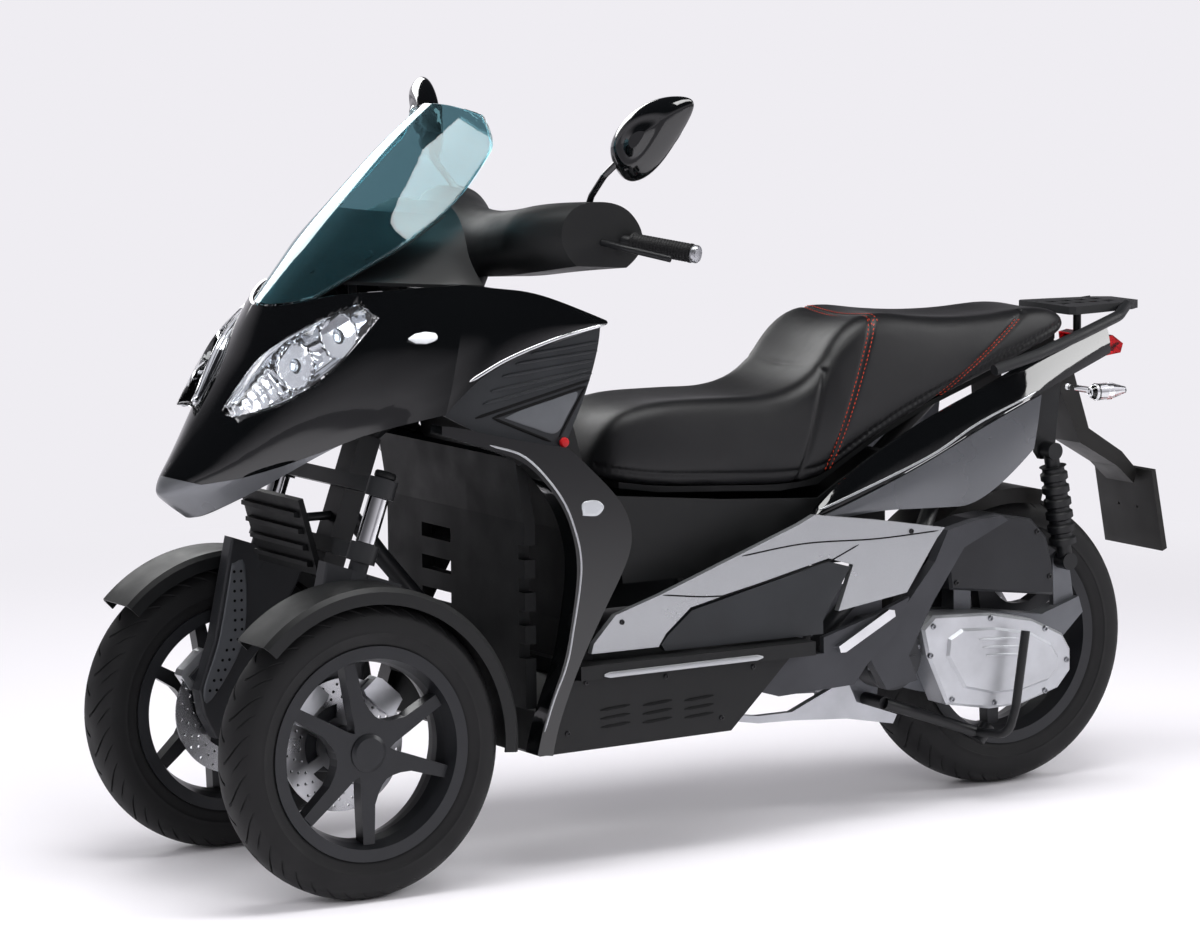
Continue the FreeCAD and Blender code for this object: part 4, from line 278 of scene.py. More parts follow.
silver_cast = casting("bright_die_cast_aluminium", "C3C5C9", 0.75, 0.36, 1.2)
dark_cast = casting("dark_painted_casting", "2C2D30", 0.3, 0.42, 1.6)
forged = casting("forged_aluminium", "B4B6BA", 0.9, 0.32, 0.9)
bright_steel = casting("ground_stainless_steel", "B9BABD", 1.0, 0.28, 0.8, 0.1)
chrome = casting("chrome_plate", "DCDDDF", 1.0, 0.06, 3.0, 0.01)
dress(casting("sand_cast_aluminium", "6C6E72", 0.8, 0.45, 1.8), "engine", "rear_arm")
dress(silver_cast, "cvt_cover")
dress(dark_cast, "variator_cover")
dress(casting("grey_painted_casting", "3C3D41", 0.45, 0.42, 1.6), "lower_covers")
dress(casting("dark_grey_painted_fork_casting", "26272A", 0.25, 0.45, 1.6), "fork_leg_left", "fork_leg_right")
dress(forged, "engine_links")
dress(casting("silver_anodised_caliper", "C6C8CC", 0.85, 0.3, 1.0), "calipers_left", "calipers_right")
dress(casting("satin_wheel_paint", "222326", 0.4, 0.34, 1.4, 0.1), "front_rim_left", "front_rim_right", "rear_rim")
dress(casting("brushed_stainless_steel", "8C8D90", 1.0, 0.34, 0.8, 0.1), "exhaust")
dress(chrome, "pillion_pegs")
dress(powder_coat("textured_rack_coat", "17181A", 0.5, 1.2), "rack")


def settled(holder):
    """The mesh that an object's modifiers make; the modifiers are then taken away."""
    mesh = bpy.data.meshes.new_from_object(holder.evaluated_get(bpy.context.evaluated_depsgraph_get()))
    holder.modifiers.clear()
    return mesh


def fitted(piece, body, node=None):
    """Seats a piece on the body it moves with, in place of a CAD node where one is named."""
    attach(piece, body)
    if node:
        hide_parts(node)


# Screws, stitches and other small things that repeat are set out on points, each with the way it faces.
# One tree of nodes puts a small pattern on every point and paints it.
def repeated(name, spots, pattern, material, body, scale=1.0):
    """A copy of the pattern on each (point, facing, heading), as one plain mesh that rides on the body."""
    base = bpy.data.meshes.new(name)
    base.from_pydata([tuple(spot[0]) for spot in spots], [], [])
    for label, column in (("facing", 1), ("heading", 2)):
        values = base.attributes.new(label, "FLOAT_VECTOR", "POINT")
        for place, spot in enumerate(spots):
            values.data[place].vector = tuple(spot[column])
    holder = placed(name + "_points", base)
    tree = bpy.data.node_groups.new(name, "GeometryNodeTree")
    tree.interface.new_socket("Points", in_out="INPUT", socket_type="NodeSocketGeometry")
    size_socket = tree.interface.new_socket("Size", in_out="INPUT", socket_type="NodeSocketFloat")
    tree.interface.new_socket("Pieces", in_out="OUTPUT", socket_type="NodeSocketGeometry")
    entry = add(tree, "NodeGroupInput")
    facing = add(tree, "GeometryNodeInputNamedAttribute", {"Name": "facing"}, data_type="FLOAT_VECTOR")
    heading = add(tree, "GeometryNodeInputNamedAttribute", {"Name": "heading"}, data_type="FLOAT_VECTOR")
    upright = add(tree, "FunctionNodeAlignRotationToVector", {"Vector": (facing, "Attribute")}, axis="Z")
    turned = add(tree, "FunctionNodeAlignRotationToVector", {"Rotation": (upright, "Rotation"),
        "Vector": (heading, "Attribute")}, axis="X", pivot_axis="Z")
    shape = add(tree, "GeometryNodeObjectInfo", {"Object": pattern})
    copies = add(tree, "GeometryNodeInstanceOnPoints", {"Points": (entry, "Points"), "Instance": (shape, "Geometry"),
        "Rotation": (turned, "Rotation"), "Scale": (entry, "Size")})
    real = add(tree, "GeometryNodeRealizeInstances", {"Geometry": (copies, "Instances")})
    painted = add(tree, "GeometryNodeSetMaterial", {"Geometry": (real, "Geometry"), "Material": material})
    add(tree, "NodeGroupOutput", {"Pieces": (painted, "Geometry")})
    modifier = holder.modifiers.new("repeat", "NODES")
    modifier.node_group = tree
    modifier[size_socket.identifier] = float(scale)
    mesh = settled(holder)
    bpy.data.objects.remove(holder)
    mesh.set_sharp_from_angle(angle=radians(40))
    fitted(placed(name, mesh), body)


def ring_faces(start, rings, count):
    """Faces between closed rings of points set out one after another, with both ends shut."""
    faces = []
    for low in range(start, start + (rings - 1) * count, count):
        for corner in range(count):
            after = (corner + 1) % count
            faces.append((low + corner, low + after, low + count + after, low + count + corner))
    last = start + (rings - 1) * count
    return faces + [tuple(range(start, start + count)), tuple(range(last, last + count))]


def turned(seats, profile, sides, flutes=0):
    """Closed forms of (radius, height) corners turned about (centre, axis) seats; flutes ripple them round it."""
    points, faces = [], []
    for centre, axis in seats:
        faces += ring_faces(len(points), len(profile), sides)
        turn = Vector(axis).to_track_quat("Z", "Y")
        for radius, rise in profile:
            for step in range(sides):
                angle = 2 * pi * step / sides
                reach = radius * (1 + (0.035 * cos(flutes * angle) if flutes else 0))
                points.append(Vector(centre) + turn @ Vector((reach * cos(angle), reach * sin(angle), rise)))
    return points, faces


def turned_form(name, profile, sides, material):
    return mesh_piece(name, *turned([((0, 0, 0), (0, 0, 1))], profile, sides), [material])


# A button-head screw of zinc-plated or blackened steel, 8 mm across, with a round socket.
# Its foot is sunk in what it holds.
screw_steel = casting("zinc_plated_steel", "9A9CA0", 1.0, 0.3, 1.0, 0.1)
black_screw = powder_coat("black_oxide_screw", "151517", 0.35, 1.0)
screw_form = turned_form("screw_form", [(0.004, -0.002), (0.004, 0.0006), (0.0036, 0.0018), (0.0024, 0.0024),
    (0.0021, 0.0024), (0.0021, 0.0008)], 12, screw_steel)


# Tyres: tubeless road tyres with long swept grooves cut from near the crown to each shoulder.
# The rubber is matt and finely pitted; a raised ring runs round each sidewall.
rubber = plastic("tyre_rubber", "121213", 0.62, 1.2, 0.3, 0.3)
TREAD_CROWN = [(0, 0), (0.1, 0.001), (0.2, 0.004), (0.3, 0.011), (0.4, 0.022), (0.5, 0.039), (0.6, 0.063),
    (0.7, 0.095), (0.79, 0.133), (0.87, 0.182), (0.925, 0.235)]
TREAD_WALL = [(0.955, 0.28), (0.98, 0.35), (0.995, 0.43), (1.0, 0.5), (0.998, 0.56), (1.006, 0.572), (1.0, 0.592),
    (0.985, 0.602), (0.962, 0.67), (0.93, 0.74), (0.925, 0.79), (0.9, 0.815), (0.862, 0.87), (0.84, 0.94), (0.84, 1.0)]
GROOVE_DEPTH = 0.0038
GROOVE_SWEEP = radians(15)
# Columns of one period: how far along it, and whether the column is in the long or the short groove
PERIOD_COLUMNS = [(0.0, ""), (0.008, "long"), (0.042, "long"), (0.076, "long"), (0.084, ""), (0.2, ""), (0.3, ""),
    (0.4, ""), (0.5, ""), (0.508, "short"), (0.542, "short"), (0.576, "short"), (0.584, ""),
    (0.7, ""), (0.8, ""), (0.9, "")]


def tread_tyre(name, node, body, centre, radius, half_width, rim_radius, periods):
    wall = radius - rim_radius
    halves = [(share, depth, True) for share, depth in TREAD_CROWN] + [(s, d, False) for s, d in TREAD_WALL]
    rows = [(-share, depth, crown) for share, depth, crown in reversed(halves)] + halves[1:]
    columns = [(turn + share, kind) for turn in range(periods) for share, kind in PERIOD_COLUMNS]
    points, faces = [], []
    for share, depth, crown in rows:
        reach = abs(share)
        sweep = GROOVE_SWEEP * min(reach, 0.93) ** 1.5
        for turn, kind in columns:
            # The long groove of the right half is the short one of the left half
            if share < 0:
                kind = {"long": "short", "short": "long"}.get(kind, kind)
            inner = 0.08 if kind == "long" else 0.55
            cut = GROOVE_DEPTH * (1.1 - 0.5 * reach) if kind and crown and inner < reach < 0.9 else 0
            angle = 2 * pi * turn / periods + sweep
            out = radius - depth * wall - cut
            points.append((centre[0] + out * cos(angle), centre[1] + share * half_width,
                centre[2] + out * sin(angle)))
    count = len(columns)
    for row in range(len(rows)):
        below = (row + 1) % len(rows)
        for column in range(count):
            after = (column + 1) % count
            faces.append((row * count + column, row * count + after, below * count + after, below * count + column))
    fitted(mesh_piece(name, points, faces, [rubber], crease=32), body, node)


FRONT_AXLE, FRONT_TYRE, REAR_TYRE = 0.83, 0.266, 0.288
REAR_CENTRE = (-0.73, 0, REAR_TYRE)
WHEELS = [("left", (FRONT_AXLE, 0.275, FRONT_TYRE)), ("right", (FRONT_AXLE, -0.275, FRONT_TYRE))]
for hand, centre in WHEELS:
    tread_tyre("front_tread_" + hand, "front_tyre_" + hand, "wheel_" + hand, centre, FRONT_TYRE, 0.055, 0.178, 22)
tread_tyre("rear_tread", "rear_tyre", "rear_wheel", REAR_CENTRE, REAR_TYRE, 0.07, 0.1905, 24)


# Brake discs: ground stainless rings with three rows of drilled holes, on arms from a bolted centre.
# Each is cut flat as an outline with its holes, then given its thickness.
def circle(x, y, radius, sides):
    return [(x + radius * cos(2 * pi * step / sides), y + radius * sin(2 * pi * step / sides))
        for step in range(sides)]


ARM_SPREAD = radians(22)
ARM_INNER, ARM_OUTER = 0.051, 0.0755


def drilled_disc(name, node, body, centre, offset, radius, bore):
    flat = bpy.data.curves.new(name, "CURVE")
    flat.dimensions = "2D"
    flat.fill_mode = "BOTH"
    flat.extrude = 0.00225
    outlines = [circle(0, 0, radius, 96), circle(0, 0, bore, 32)]
    for arm in range(6):
        middle = radians(120 + arm * 60)
        outlines.append([(reach * cos(middle + ARM_SPREAD * k / 6), reach * sin(middle + ARM_SPREAD * k / 6))
            for reach, steps in ((ARM_INNER, range(-5, 6)), (ARM_OUTER, range(6, -7, -1))) for k in steps])
    for ring, inset in enumerate((0.034, 0.022, 0.010)):
        outlines += [circle(x, y, 0.0028, 10) for x, y in circle(0, 0, radius - inset, 72)[ring::3]]
    for outline in outlines:
        spline = flat.splines.new("POLY")
        spline.points.add(len(outline) - 1)
        for point, (x, y) in zip(spline.points, outline):
            point.co = (x, y, 0, 1)
        spline.use_cyclic_u = True
    holder = placed(name + "_outline", flat)
    cut = settled(holder)
    bpy.data.objects.remove(holder)
    points = [(centre[0] + v.co.x, centre[1] + offset + v.co.z, centre[2] + v.co.y) for v in cut.vertices]
    piece = mesh_piece(name, points, [tuple(face.vertices) for face in cut.polygons], [bright_steel])
    fitted(piece, body, node)


for (hand, centre), inward in zip(WHEELS, (-1, 1)):
    drilled_disc("front_drilled_disc_" + hand, "front_disc_" + hand, "wheel_" + hand, centre, inward * 0.062, 0.12,
        0.0345)
drilled_disc("rear_drilled_disc", "rear_disc", "rear_wheel", REAR_CENTRE, -0.078, 0.11, 0.0345)

# Disc bolts: six zinc-plated button heads hold each disc to its hub.
# They stand on the disc's outer face, on a circle 86 mm across.
for (hand, centre), body, disc_y in zip(WHEELS + [("rear", REAR_CENTRE)], ("wheel_left", "wheel_right", "rear_wheel"),
        (-0.0648, 0.0648, -0.0808)):
    bolts = [((x, centre[1] + disc_y, z), (0, copysign(1, disc_y), 0), (1, 0, 0))
        for x, z in circle(centre[0], centre[2], 0.043, 12)[1::2]]
    repeated("disc_bolts_" + hand, bolts, screw_form, screw_steel, body, 1.25)


# Lines on the bodywork: trims, ribs, seams and beads follow the panels that carry them.
# Each is found by looking at the panel square from one side, so it lies on the real surface.
def surface_of(*names):
    points, faces = [], []
    for name in names:
        mesh = nodes[name].data
        start = len(points)
        points += [vertex.co.copy() for vertex in mesh.vertices]
        faces += [[start + corner for corner in face.vertices] for face in mesh.polygons]
    return BVHTree.FromPolygons(points, faces)


def shares(*corners):
    """Points given as setback from the front axle, height and distance to the left, all in millimetres."""
    return [Vector((FRONT_AXLE - back / 1000, left / 1000, height / 1000)) for back, height, left in corners]


def flank(left, *corners):
    """Points in side view, as setback and height, at one distance to the left, all in millimetres."""
    return shares(*[(back, height, left) for back, height in corners])


def smooth_path(corners, step):
    """Points about one step apart on a smooth line through the corners."""
    ends = [corners[0] * 2 - corners[1]] + corners + [corners[-1] * 2 - corners[-2]]
    line = []
    for a, b, c, d in zip(ends, ends[1:], ends[2:], ends[3:]):
        count = max(1, round((c - b).length / step))
        for part in range(count):
            t = part / count
            line.append(0.5 * (2 * b + (c - a) * t + (2 * a - 5 * b + 4 * c - d) * t ** 2
                + (3 * b - a - 3 * c + d) * t ** 3))
    return line + [corners[-1]]


LEFT = Vector((0, -1, 0))


def met(surface, point, toward=LEFT):
    """Where a line of sight along toward through a point first meets a surface, and the normal that faces it."""
    spot, normal, face, reach = surface.ray_cast(point - toward * 0.5, toward)
    return None if spot is None else (spot, normal if normal.dot(toward) < 0 else -normal)


def laid(surface, corners, step=0.006, turns=3):
    """Where a smooth line, seen square from the left, meets the surface: points and evened-out normals."""
    line = [hit for hit in [met(surface, point) for point in smooth_path(corners, step)] if hit]
    for turn in range(turns):
        line = [(spot, (line[max(place - 1, 0)][1] + normal + line[min(place + 1, len(line) - 1)][1]).normalized())
            for place, (spot, normal) in enumerate(line)]
    return line


STRIP_SECTION = [(-0.5, -0.6), (-0.5, 0.45), (-0.42, 0.85), (-0.2, 1.0), (0.2, 1.0), (0.42, 0.85), (0.5, 0.45),
    (0.5, -0.6)]


def strips(name, lines, width, height, material, paired=True):
    """A low moulded strip with rounded shoulders along each laid line on the chassis, mirrored to the right side."""
    points, faces = [], []
    for line in lines:
        for hand in ((1, -1) if paired else (1,)):
            faces += ring_faces(len(points), len(line), len(STRIP_SECTION))
            for place, (spot, normal) in enumerate(line):
                run = (line[min(place + 1, len(line) - 1)][0] - line[max(place - 1, 0)][0]).normalized()
                across = normal.cross(run).normalized()
                taper = min(1.0, 0.35 + 0.65 * min(place, len(line) - 1 - place) / 2)
                for side, rise in STRIP_SECTION:
                    point = spot + across * side * width * taper + normal * rise * height
                    points.append((point.x, point.y * hand, point.z))
    fitted(mesh_piece(name, points, faces, [material], crease=50), "chassis")


PATCH_RINGS = [(1.0, -0.8), (1.0, 0.5), (0.96, 0.9), (0.9, 1.0), (0.6, 1.0), (0.3, 1.0), (0.05, 1.0)]


def patches(name, surface, outline, height, material, body, paired=True, step=0.006, toward=LEFT):
    """A thin moulded plate with a rounded rim that lies on a surface inside an outline, mirrored if asked."""
    points, faces = [], []
    corners = smooth_path(outline + outline[:1], step)[:-1]
    middle = sum(corners, Vector()) / len(corners)
    for hand in ((1, -1) if paired else (1,)):
        faces += ring_faces(len(points), len(PATCH_RINGS), len(corners))
        for share, rise in PATCH_RINGS:
            for corner in corners:
                over = middle.lerp(corner, share)
                point = (met(surface, over, toward) or surface.find_nearest(over))[0] - toward * rise * height
                points.append((point.x, point.y * hand, point.z))
    fitted(mesh_piece(name, points, faces, [material], crease=50), body)


# Chrome line: a thin plated moulding along the fairing's lower edge.
# It is snapped into the panel and stands 2.5 mm proud.
chrome_line = laid(surface_of("side_fairings", "front_cover"),
    flank(290, (226, 906), (300, 941), (400, 972), (500, 992)))
strips("fairing_chrome_line", [chrome_line], 0.006, 0.0025, chrome)

# Fairing insert: satin dark grey ABS with five moulded ribs above a long seam.
# Under the seam a lighter triangle sits in a black rubber frame.
insert_face = surface_of("fairing_inserts")
RIBS = [((362, 946), (500, 959)), ((330, 930), (498, 943)), ((302, 909), (496, 927)), ((278, 884), (494, 912)),
    ((262, 862), (492, 904))]
rib_lines = [laid(insert_face, flank(300, *ends)) for ends in RIBS]
strips("insert_ribs", rib_lines, 0.006, 0.003, dark_grey_plastic)
# Black rubber seal for seams and frames; on the skirts' vent slots its near-black is painted shade inside the slots.
seal_black_and_slot_shade = plastic("black_rubber_seal_and_slot_shade", "050506", 0.6, 2.0, 0.1, 0.2)
triangle = flank(300, (281, 836), (474, 880), (418, 792), (400, 786), (281, 836))
insert_frame = [laid(insert_face, flank(300, (246, 838), (494, 894)))]
insert_frame += [laid(insert_face, [triangle[place], triangle[place + 1]]) for place in (0, 1, 3)]
strips("insert_seams", insert_frame, 0.0055, 0.0016, seal_black_and_slot_shade)
patches("insert_triangles", insert_face, flank(300, (306, 834), (340, 846), (400, 860), (456, 871), (436, 832),
    (410, 800), (360, 814)),
    0.0012, plastic("satin_light_grey_abs", "55575B", 0.4, 1.4, 0.15), "chassis")

# Leg shields: a bead round each inner edge stands for the moulded lip, its bright silver a painted highlight.
# A small grey reflector is glued to the shield's side.
shield_face = surface_of("leg_shields")
shield_lip_highlight_bead = laid(shield_face, flank(330, (250, 794), (322, 767), (385, 704), (419, 642), (436, 560), (417, 440),
    (403, 383), (377, 325), (356, 268)))
strips("shield_edge_bead", [shield_lip_highlight_bead], 0.004, 0.002, silver_paint)
reflector = body_paint("grey_side_reflector", "B9BCC0", 0.2, 0.3)
patches("side_reflectors", shield_face, flank(330, (440, 653), (440, 676), (468, 679), (484, 666), (470, 651)),
    0.003, reflector, "chassis", step=0.004)

# Floor and skirts: a silver lacquered trim along each footboard, clipped in.
# The black skirts have vent slots, near-black strips of painted shade, and are held by black button-head screws.
board_trim = laid(surface_of("floor", "belly_pan", "leg_shields"), flank(330, (500, 352), (660, 353), (842, 354)))
strips("footboard_trims", [board_trim], 0.011, 0.003, silver_paint)
skirt_side = surface_of("belly_pan")
vent_lines = [laid(skirt_side, flank(330, (front, 286 - drop), (front + 62, 290 - drop)))
    for front in (500, 590, 680) for drop in (0, 16, 32)]
strips("skirt_vents", vent_lines, 0.006, 0.0015, seal_black_and_slot_shade)


def mirrored(point):
    return Vector((point.x, -point.y, point.z))


def screw_spots(surface, corners, paired=True):
    """Where screws seen from the left sit, each with its facing and heading, and their mirror places."""
    spots = []
    for hit in [met(surface, corner) for corner in corners]:
        if hit:
            spots.append((*hit, (1, 0, 0)))
            if paired:
                spots.append((mirrored(hit[0]), mirrored(hit[1]), (1, 0, 0)))
    return spots


skirt_screws = screw_spots(skirt_side, flank(330, (470, 340), (640, 335), (830, 335), (430, 250), (760, 246)))
repeated("skirt_screws", skirt_screws, screw_form, black_screw, "chassis", 1.3)

# Side panel: the silver moulding is of several parts, so dark seams cross it.
# Three black screws hold it.
panel_face = surface_of("side_panels")
panel_seams = [laid(panel_face, flank(330, (648, 482), (760, 470), (900, 470), (1010, 512), (1080, 540))),
    laid(panel_face, flank(330, (820, 540), (960, 552), (1120, 548), (1262, 552)))]
strips("side_panel_seams", panel_seams, 0.0028, 0.0008, seal_black_and_slot_shade)
repeated("side_panel_screws", screw_spots(panel_face, flank(330, (870, 566), (1200, 556), (560, 440))),
    screw_form, black_screw, "chassis", 1.3)

# Tail: a bead between the gloss strip and the grey panel, its bright silver a painted highlight.
# It is moulded on the panel's edge.
tail_highlight_bead = laid(surface_of("tail_strips", "tail_panels"),
    flank(300, (1020, 606), (1270, 686), (1400, 742), (1550, 790)))
strips("tail_edge_beads", [tail_highlight_bead], 0.0045, 0.0018, silver_paint)

# Drive case: zinc-plated screws round the cast silver cover, with three cast ribs beside them.
# The dark variator lid has twelve cast spokes and its own screws; black screws hold the air box.
cover_face = surface_of("cvt_cover")
cover_screws = screw_spots(cover_face, flank(200, (1296, 356), (1430, 360), (1560, 328), (1612, 262), (1560, 206),
    (1440, 194), (1340, 210), (1290, 300)), False)
repeated("cover_screws", cover_screws, screw_form, screw_steel, "chassis", 1.5)
cover_ribs = [laid(cover_face, flank(200, (front, 322 - drop), (front + 92, 316 - drop)))
    for front, drop in ((1400, 0), (1408, 16), (1416, 32))]
strips("cover_ribs", cover_ribs, 0.005, 0.002, silver_cast, paired=False)
lid_face = surface_of("variator_cover")
LID = (1215, 302)
lid_ribs = [laid(lid_face, flank(200, *ends), 0.004)
    for ends in zip(circle(*LID, 28, 12), circle(*LID, 50, 12))]
strips("variator_lid_ribs", lid_ribs, 0.004, 0.002, dark_cast, paired=False)
lid_rim = circle(*LID, 58, 24)[1::4]
repeated("variator_screws", screw_spots(lid_face, flank(200, *lid_rim), False), screw_form, screw_steel, "chassis",
    1.3)
box_screws = screw_spots(surface_of("airbox"), flank(200, (1350, 530), (1440, 550), (1540, 520), (1570, 430),
    (1350, 436)), False)
repeated("airbox_screws", box_screws, screw_form, black_screw, "chassis", 1.4)


# Clear parts: polycarbonate lenses and the tinted acrylic screen, moulded and polished.
# Light goes on through them to what is behind, so they throw only a thin shadow.
def clear_sheet(name, colour, roughness, index):
    material, tree = fresh_material(name)
    place = add(tree, "TexCoord")
    haze = add(tree, "TexNoise", {"Vector": (place, "Object"), "Scale": 18.0, "Detail": 4.0})
    dull = add(tree, "MapRange", {"Value": (haze, "Fac"), "To Min": roughness, "To Max": roughness * 2.5})
    shade = add(tree, "BsdfPrincipled", {"Base Color": linear(colour), "Roughness": (dull, "Result"),
        "Transmission Weight": 1.0, "IOR": index})
    through = add(tree, "BsdfTransparent", {"Color": linear(colour)})
    ray = add(tree, "LightPath")
    mixed = add(tree, "MixShader", {"Fac": (ray, "Is Shadow Ray"), 1: (shade, "BSDF"), 2: (through, "BSDF")})
    add(tree, "OutputMaterial", {"Surface": (mixed, "Shader")})
    return material


dress(clear_sheet("tinted_acrylic", "7FB4BE", 0.01, 1.49), "windscreen")
dress(clear_sheet("clear_polycarbonate", "F4F6F8", 0.01, 1.58), "headlamps", "rear_indicators")
dress(plastic("frosted_white_lens", "DDE0E3", 0.22, 2.0, 0.05, 0.6), "front_indicators")
dress(clear_sheet("red_polycarbonate", "C4121A", 0.05, 1.58), "tail_lamp")

# Headlamps: each clear lens covers an opening in the front cover, with a chromed trough behind it.
# Two round bowls with glass projectors stand in the trough, and a fluted fan fills its front end.
LAMP_TOP = shares((-150, 862, 74), (-112, 925, 86), (-78, 968, 104), (-10, 1012, 142), (66, 1050, 186))
LAMP_FOOT = shares((-140, 850, 92), (-100, 866, 138), (-44, 896, 172), (18, 945, 196), (84, 1022, 208))
lamp_top = smooth_path(LAMP_TOP, 0.008)
lamp_foot = smooth_path(LAMP_FOOT, 0.008)


def along(line, share):
    """The point at a share of a line's length in steps."""
    place = share * (len(line) - 1)
    low = min(int(place), len(line) - 2)
    return line[low].lerp(line[low + 1], place - low)


def lamp_normal(share):
    run = along(lamp_top, min(1, share + 0.05)) - along(lamp_top, max(0, share - 0.05))
    drop = along(lamp_foot, share) - along(lamp_top, share)
    return drop.cross(run).normalized()


lamp_out = lamp_normal(0.5)
rim_loop = [along(lamp_top, step / 24) for step in range(25)]
rim_loop += [along(lamp_foot, step / 24) for step in range(24, -1, -1)]
lamp_middle = sum(rim_loop, Vector()) / len(rim_loop)
rim_loop = [lamp_middle + (point - lamp_middle) * 0.95 for point in rim_loop]
cutter_points, cutter_faces = [], []
for hand in (1, -1):
    cutter_faces += ring_faces(len(cutter_points), 2, len(rim_loop))
    for reach in (0.07, -0.07):
        for moved in [point + lamp_out * reach for point in rim_loop]:
            cutter_points.append((moved.x, moved.y * hand, moved.z))
lamp_cutter = mesh_piece("lamp_cutter", cutter_points, cutter_faces, [gloss_black])


def node_copy(node, name, materials):
    """A merged copy of a CAD node's mesh, for pieces that are made from it."""
    mesh = nodes[node].data
    return mesh_piece(name, [vertex.co for vertex in mesh.vertices], [tuple(face.vertices) for face in mesh.polygons],
        materials, crease=30)


open_cover = node_copy("front_cover", "open_front_cover", [gloss_black])
opening = open_cover.modifiers.new("opening", "BOOLEAN")
opening.operation = "DIFFERENCE"
opening.solver = "EXACT"
opening.object = lamp_cutter
open_cover.data = settled(open_cover)
bpy.data.objects.remove(lamp_cutter)
fitted(open_cover, "chassis", "front_cover")

reflector_metal = casting("vapour_chromed_reflector", "E4E6E9", 1.0, 0.07, 3.0, 0.01)
trough_points, trough_faces = [], []
LENGTHWISE, CROSSWISE = 72, 12
TROUGH_RIM, TROUGH_DEPTH = 0.006, 0.05
FAN_SHARE, FAN_RIPPLE = 0.34, 0.004
for hand in (1, -1):
    start = len(trough_points)
    for step in range(LENGTHWISE + 1):
        share = step / LENGTHWISE
        normal = lamp_normal(share)
        for row in range(CROSSWISE + 1):
            across = row / CROSSWISE
            depth = TROUGH_RIM + TROUGH_DEPTH * sin(pi * across) ** 0.7 * sin(pi * share) ** 0.4
            if share < FAN_SHARE:
                depth -= FAN_RIPPLE * abs(sin(share * 60)) * sin(pi * across)
            point = along(lamp_top, share).lerp(along(lamp_foot, share), across)
            point = lamp_middle + (point - lamp_middle) * 0.97 - normal * depth
            trough_points.append((point.x, point.y * hand, point.z))
    wide = CROSSWISE + 1
    for step in range(LENGTHWISE):
        for row in range(CROSSWISE):
            low = start + step * wide + row
            face = (low, low + 1, low + wide + 1, low + wide)
            trough_faces.append(face if hand == 1 else face[::-1])
trough = mesh_piece("headlamp_troughs", trough_points, trough_faces, [reflector_metal], crease=35)
trough.modifiers.new("wall", "SOLIDIFY").thickness = -0.0015
fitted(trough, "chassis")


def turned_at(name, seats, profile, sides, material, body, flutes=0):
    piece = mesh_piece(name, *turned(seats, profile, sides, flutes), [material], crease=35)
    fitted(piece, body)


def both_hands(seats):
    return seats + [(mirrored(centre), mirrored(axis)) for centre, axis in seats]


bowl_seats = []
for share in (0.47, 0.76):
    normal = lamp_normal(share)
    middle = along(lamp_top, share).lerp(along(lamp_foot, share), 0.5)
    aim = (normal + Vector((0.9, 0.1, 0))).normalized()
    bowl_seats.append((middle - normal * 0.012, aim))
BOWL = [(0.0385, -0.003), (0.0385, 0.0), (0.037, 0.001), (0.0345, -0.004), (0.029, -0.014), (0.021, -0.022),
    (0.0205, -0.024), (0.039, -0.006)]
turned_at("headlamp_bowls", both_hands(bowl_seats), BOWL, 40, reflector_metal, "chassis", 20)
PROJECTOR = [(0.019, -0.03), (0.019, -0.014), (0.0172, -0.0085), (0.0135, -0.004), (0.008, -0.0012), (0.002, 0.0)]
projector_glass = clear_sheet("pressed_projector_glass", "E8F0F6", 0.01, 1.52)
turned_at("headlamp_projectors", both_hands(bowl_seats), PROJECTOR, 32, projector_glass, "chassis")
RING = [(0.0196, -0.016), (0.022, -0.015), (0.0222, -0.0105), (0.0212, -0.0085), (0.0192, -0.0095)]
turned_at("projector_rings", both_hands(bowl_seats), RING, 32, chrome, "chassis")

# Screen: a tinted acrylic sheet, bent warm and cut to its outline.
# Its polished edge catches the light: a thin pale bead runs up each side as a painted highlight.
screen_face = surface_of("windscreen")
SCREEN_FOOT, SCREEN_TOP = 1.048, 1.374


def screen_edge(height):
    """The outermost point of the screen at a height, found by halving."""
    inside, outside, edge = 0.0, 0.24, None
    for turn in range(14):
        half = (inside + outside) / 2
        spot = screen_face.ray_cast(Vector((1.2, half, height)), Vector((-1, 0, 0)))[0]
        if spot is None:
            outside = half
        else:
            inside, edge = half, spot
    return edge


def round_bead(name, lines, radius, material, body, sides=8):
    """A round bead of one radius along each line of points, closed at its ends."""
    points, faces = [], []
    for line in lines:
        faces += ring_faces(len(points), len(line), sides)
        for place, spot in enumerate(line):
            run = (line[min(place + 1, len(line) - 1)] - line[max(place - 1, 0)]).normalized()
            first = run.orthogonal().normalized() if place == 0 else (first - run * first.dot(run)).normalized()
            second = run.cross(first)
            for step in range(sides):
                angle = 2 * pi * step / sides
                points.append(spot + (first * cos(angle) + second * sin(angle)) * radius)
    fitted(mesh_piece(name, points, faces, [material], crease=50), body)


edge_line = [screen_edge(SCREEN_FOOT + (SCREEN_TOP - SCREEN_FOOT) * step / 59) for step in range(60)]
edge_line = [spot for spot in edge_line if spot is not None]
# The bead's pale tint is a painted highlight along the screen's edge.
edge_glow = clear_sheet("pale_acrylic_edge_highlight", "D6F0F4", 0.05, 1.49)
round_bead("screen_edges", [edge_line, [mirrored(spot) for spot in edge_line]], 0.0022, edge_glow, "chassis")


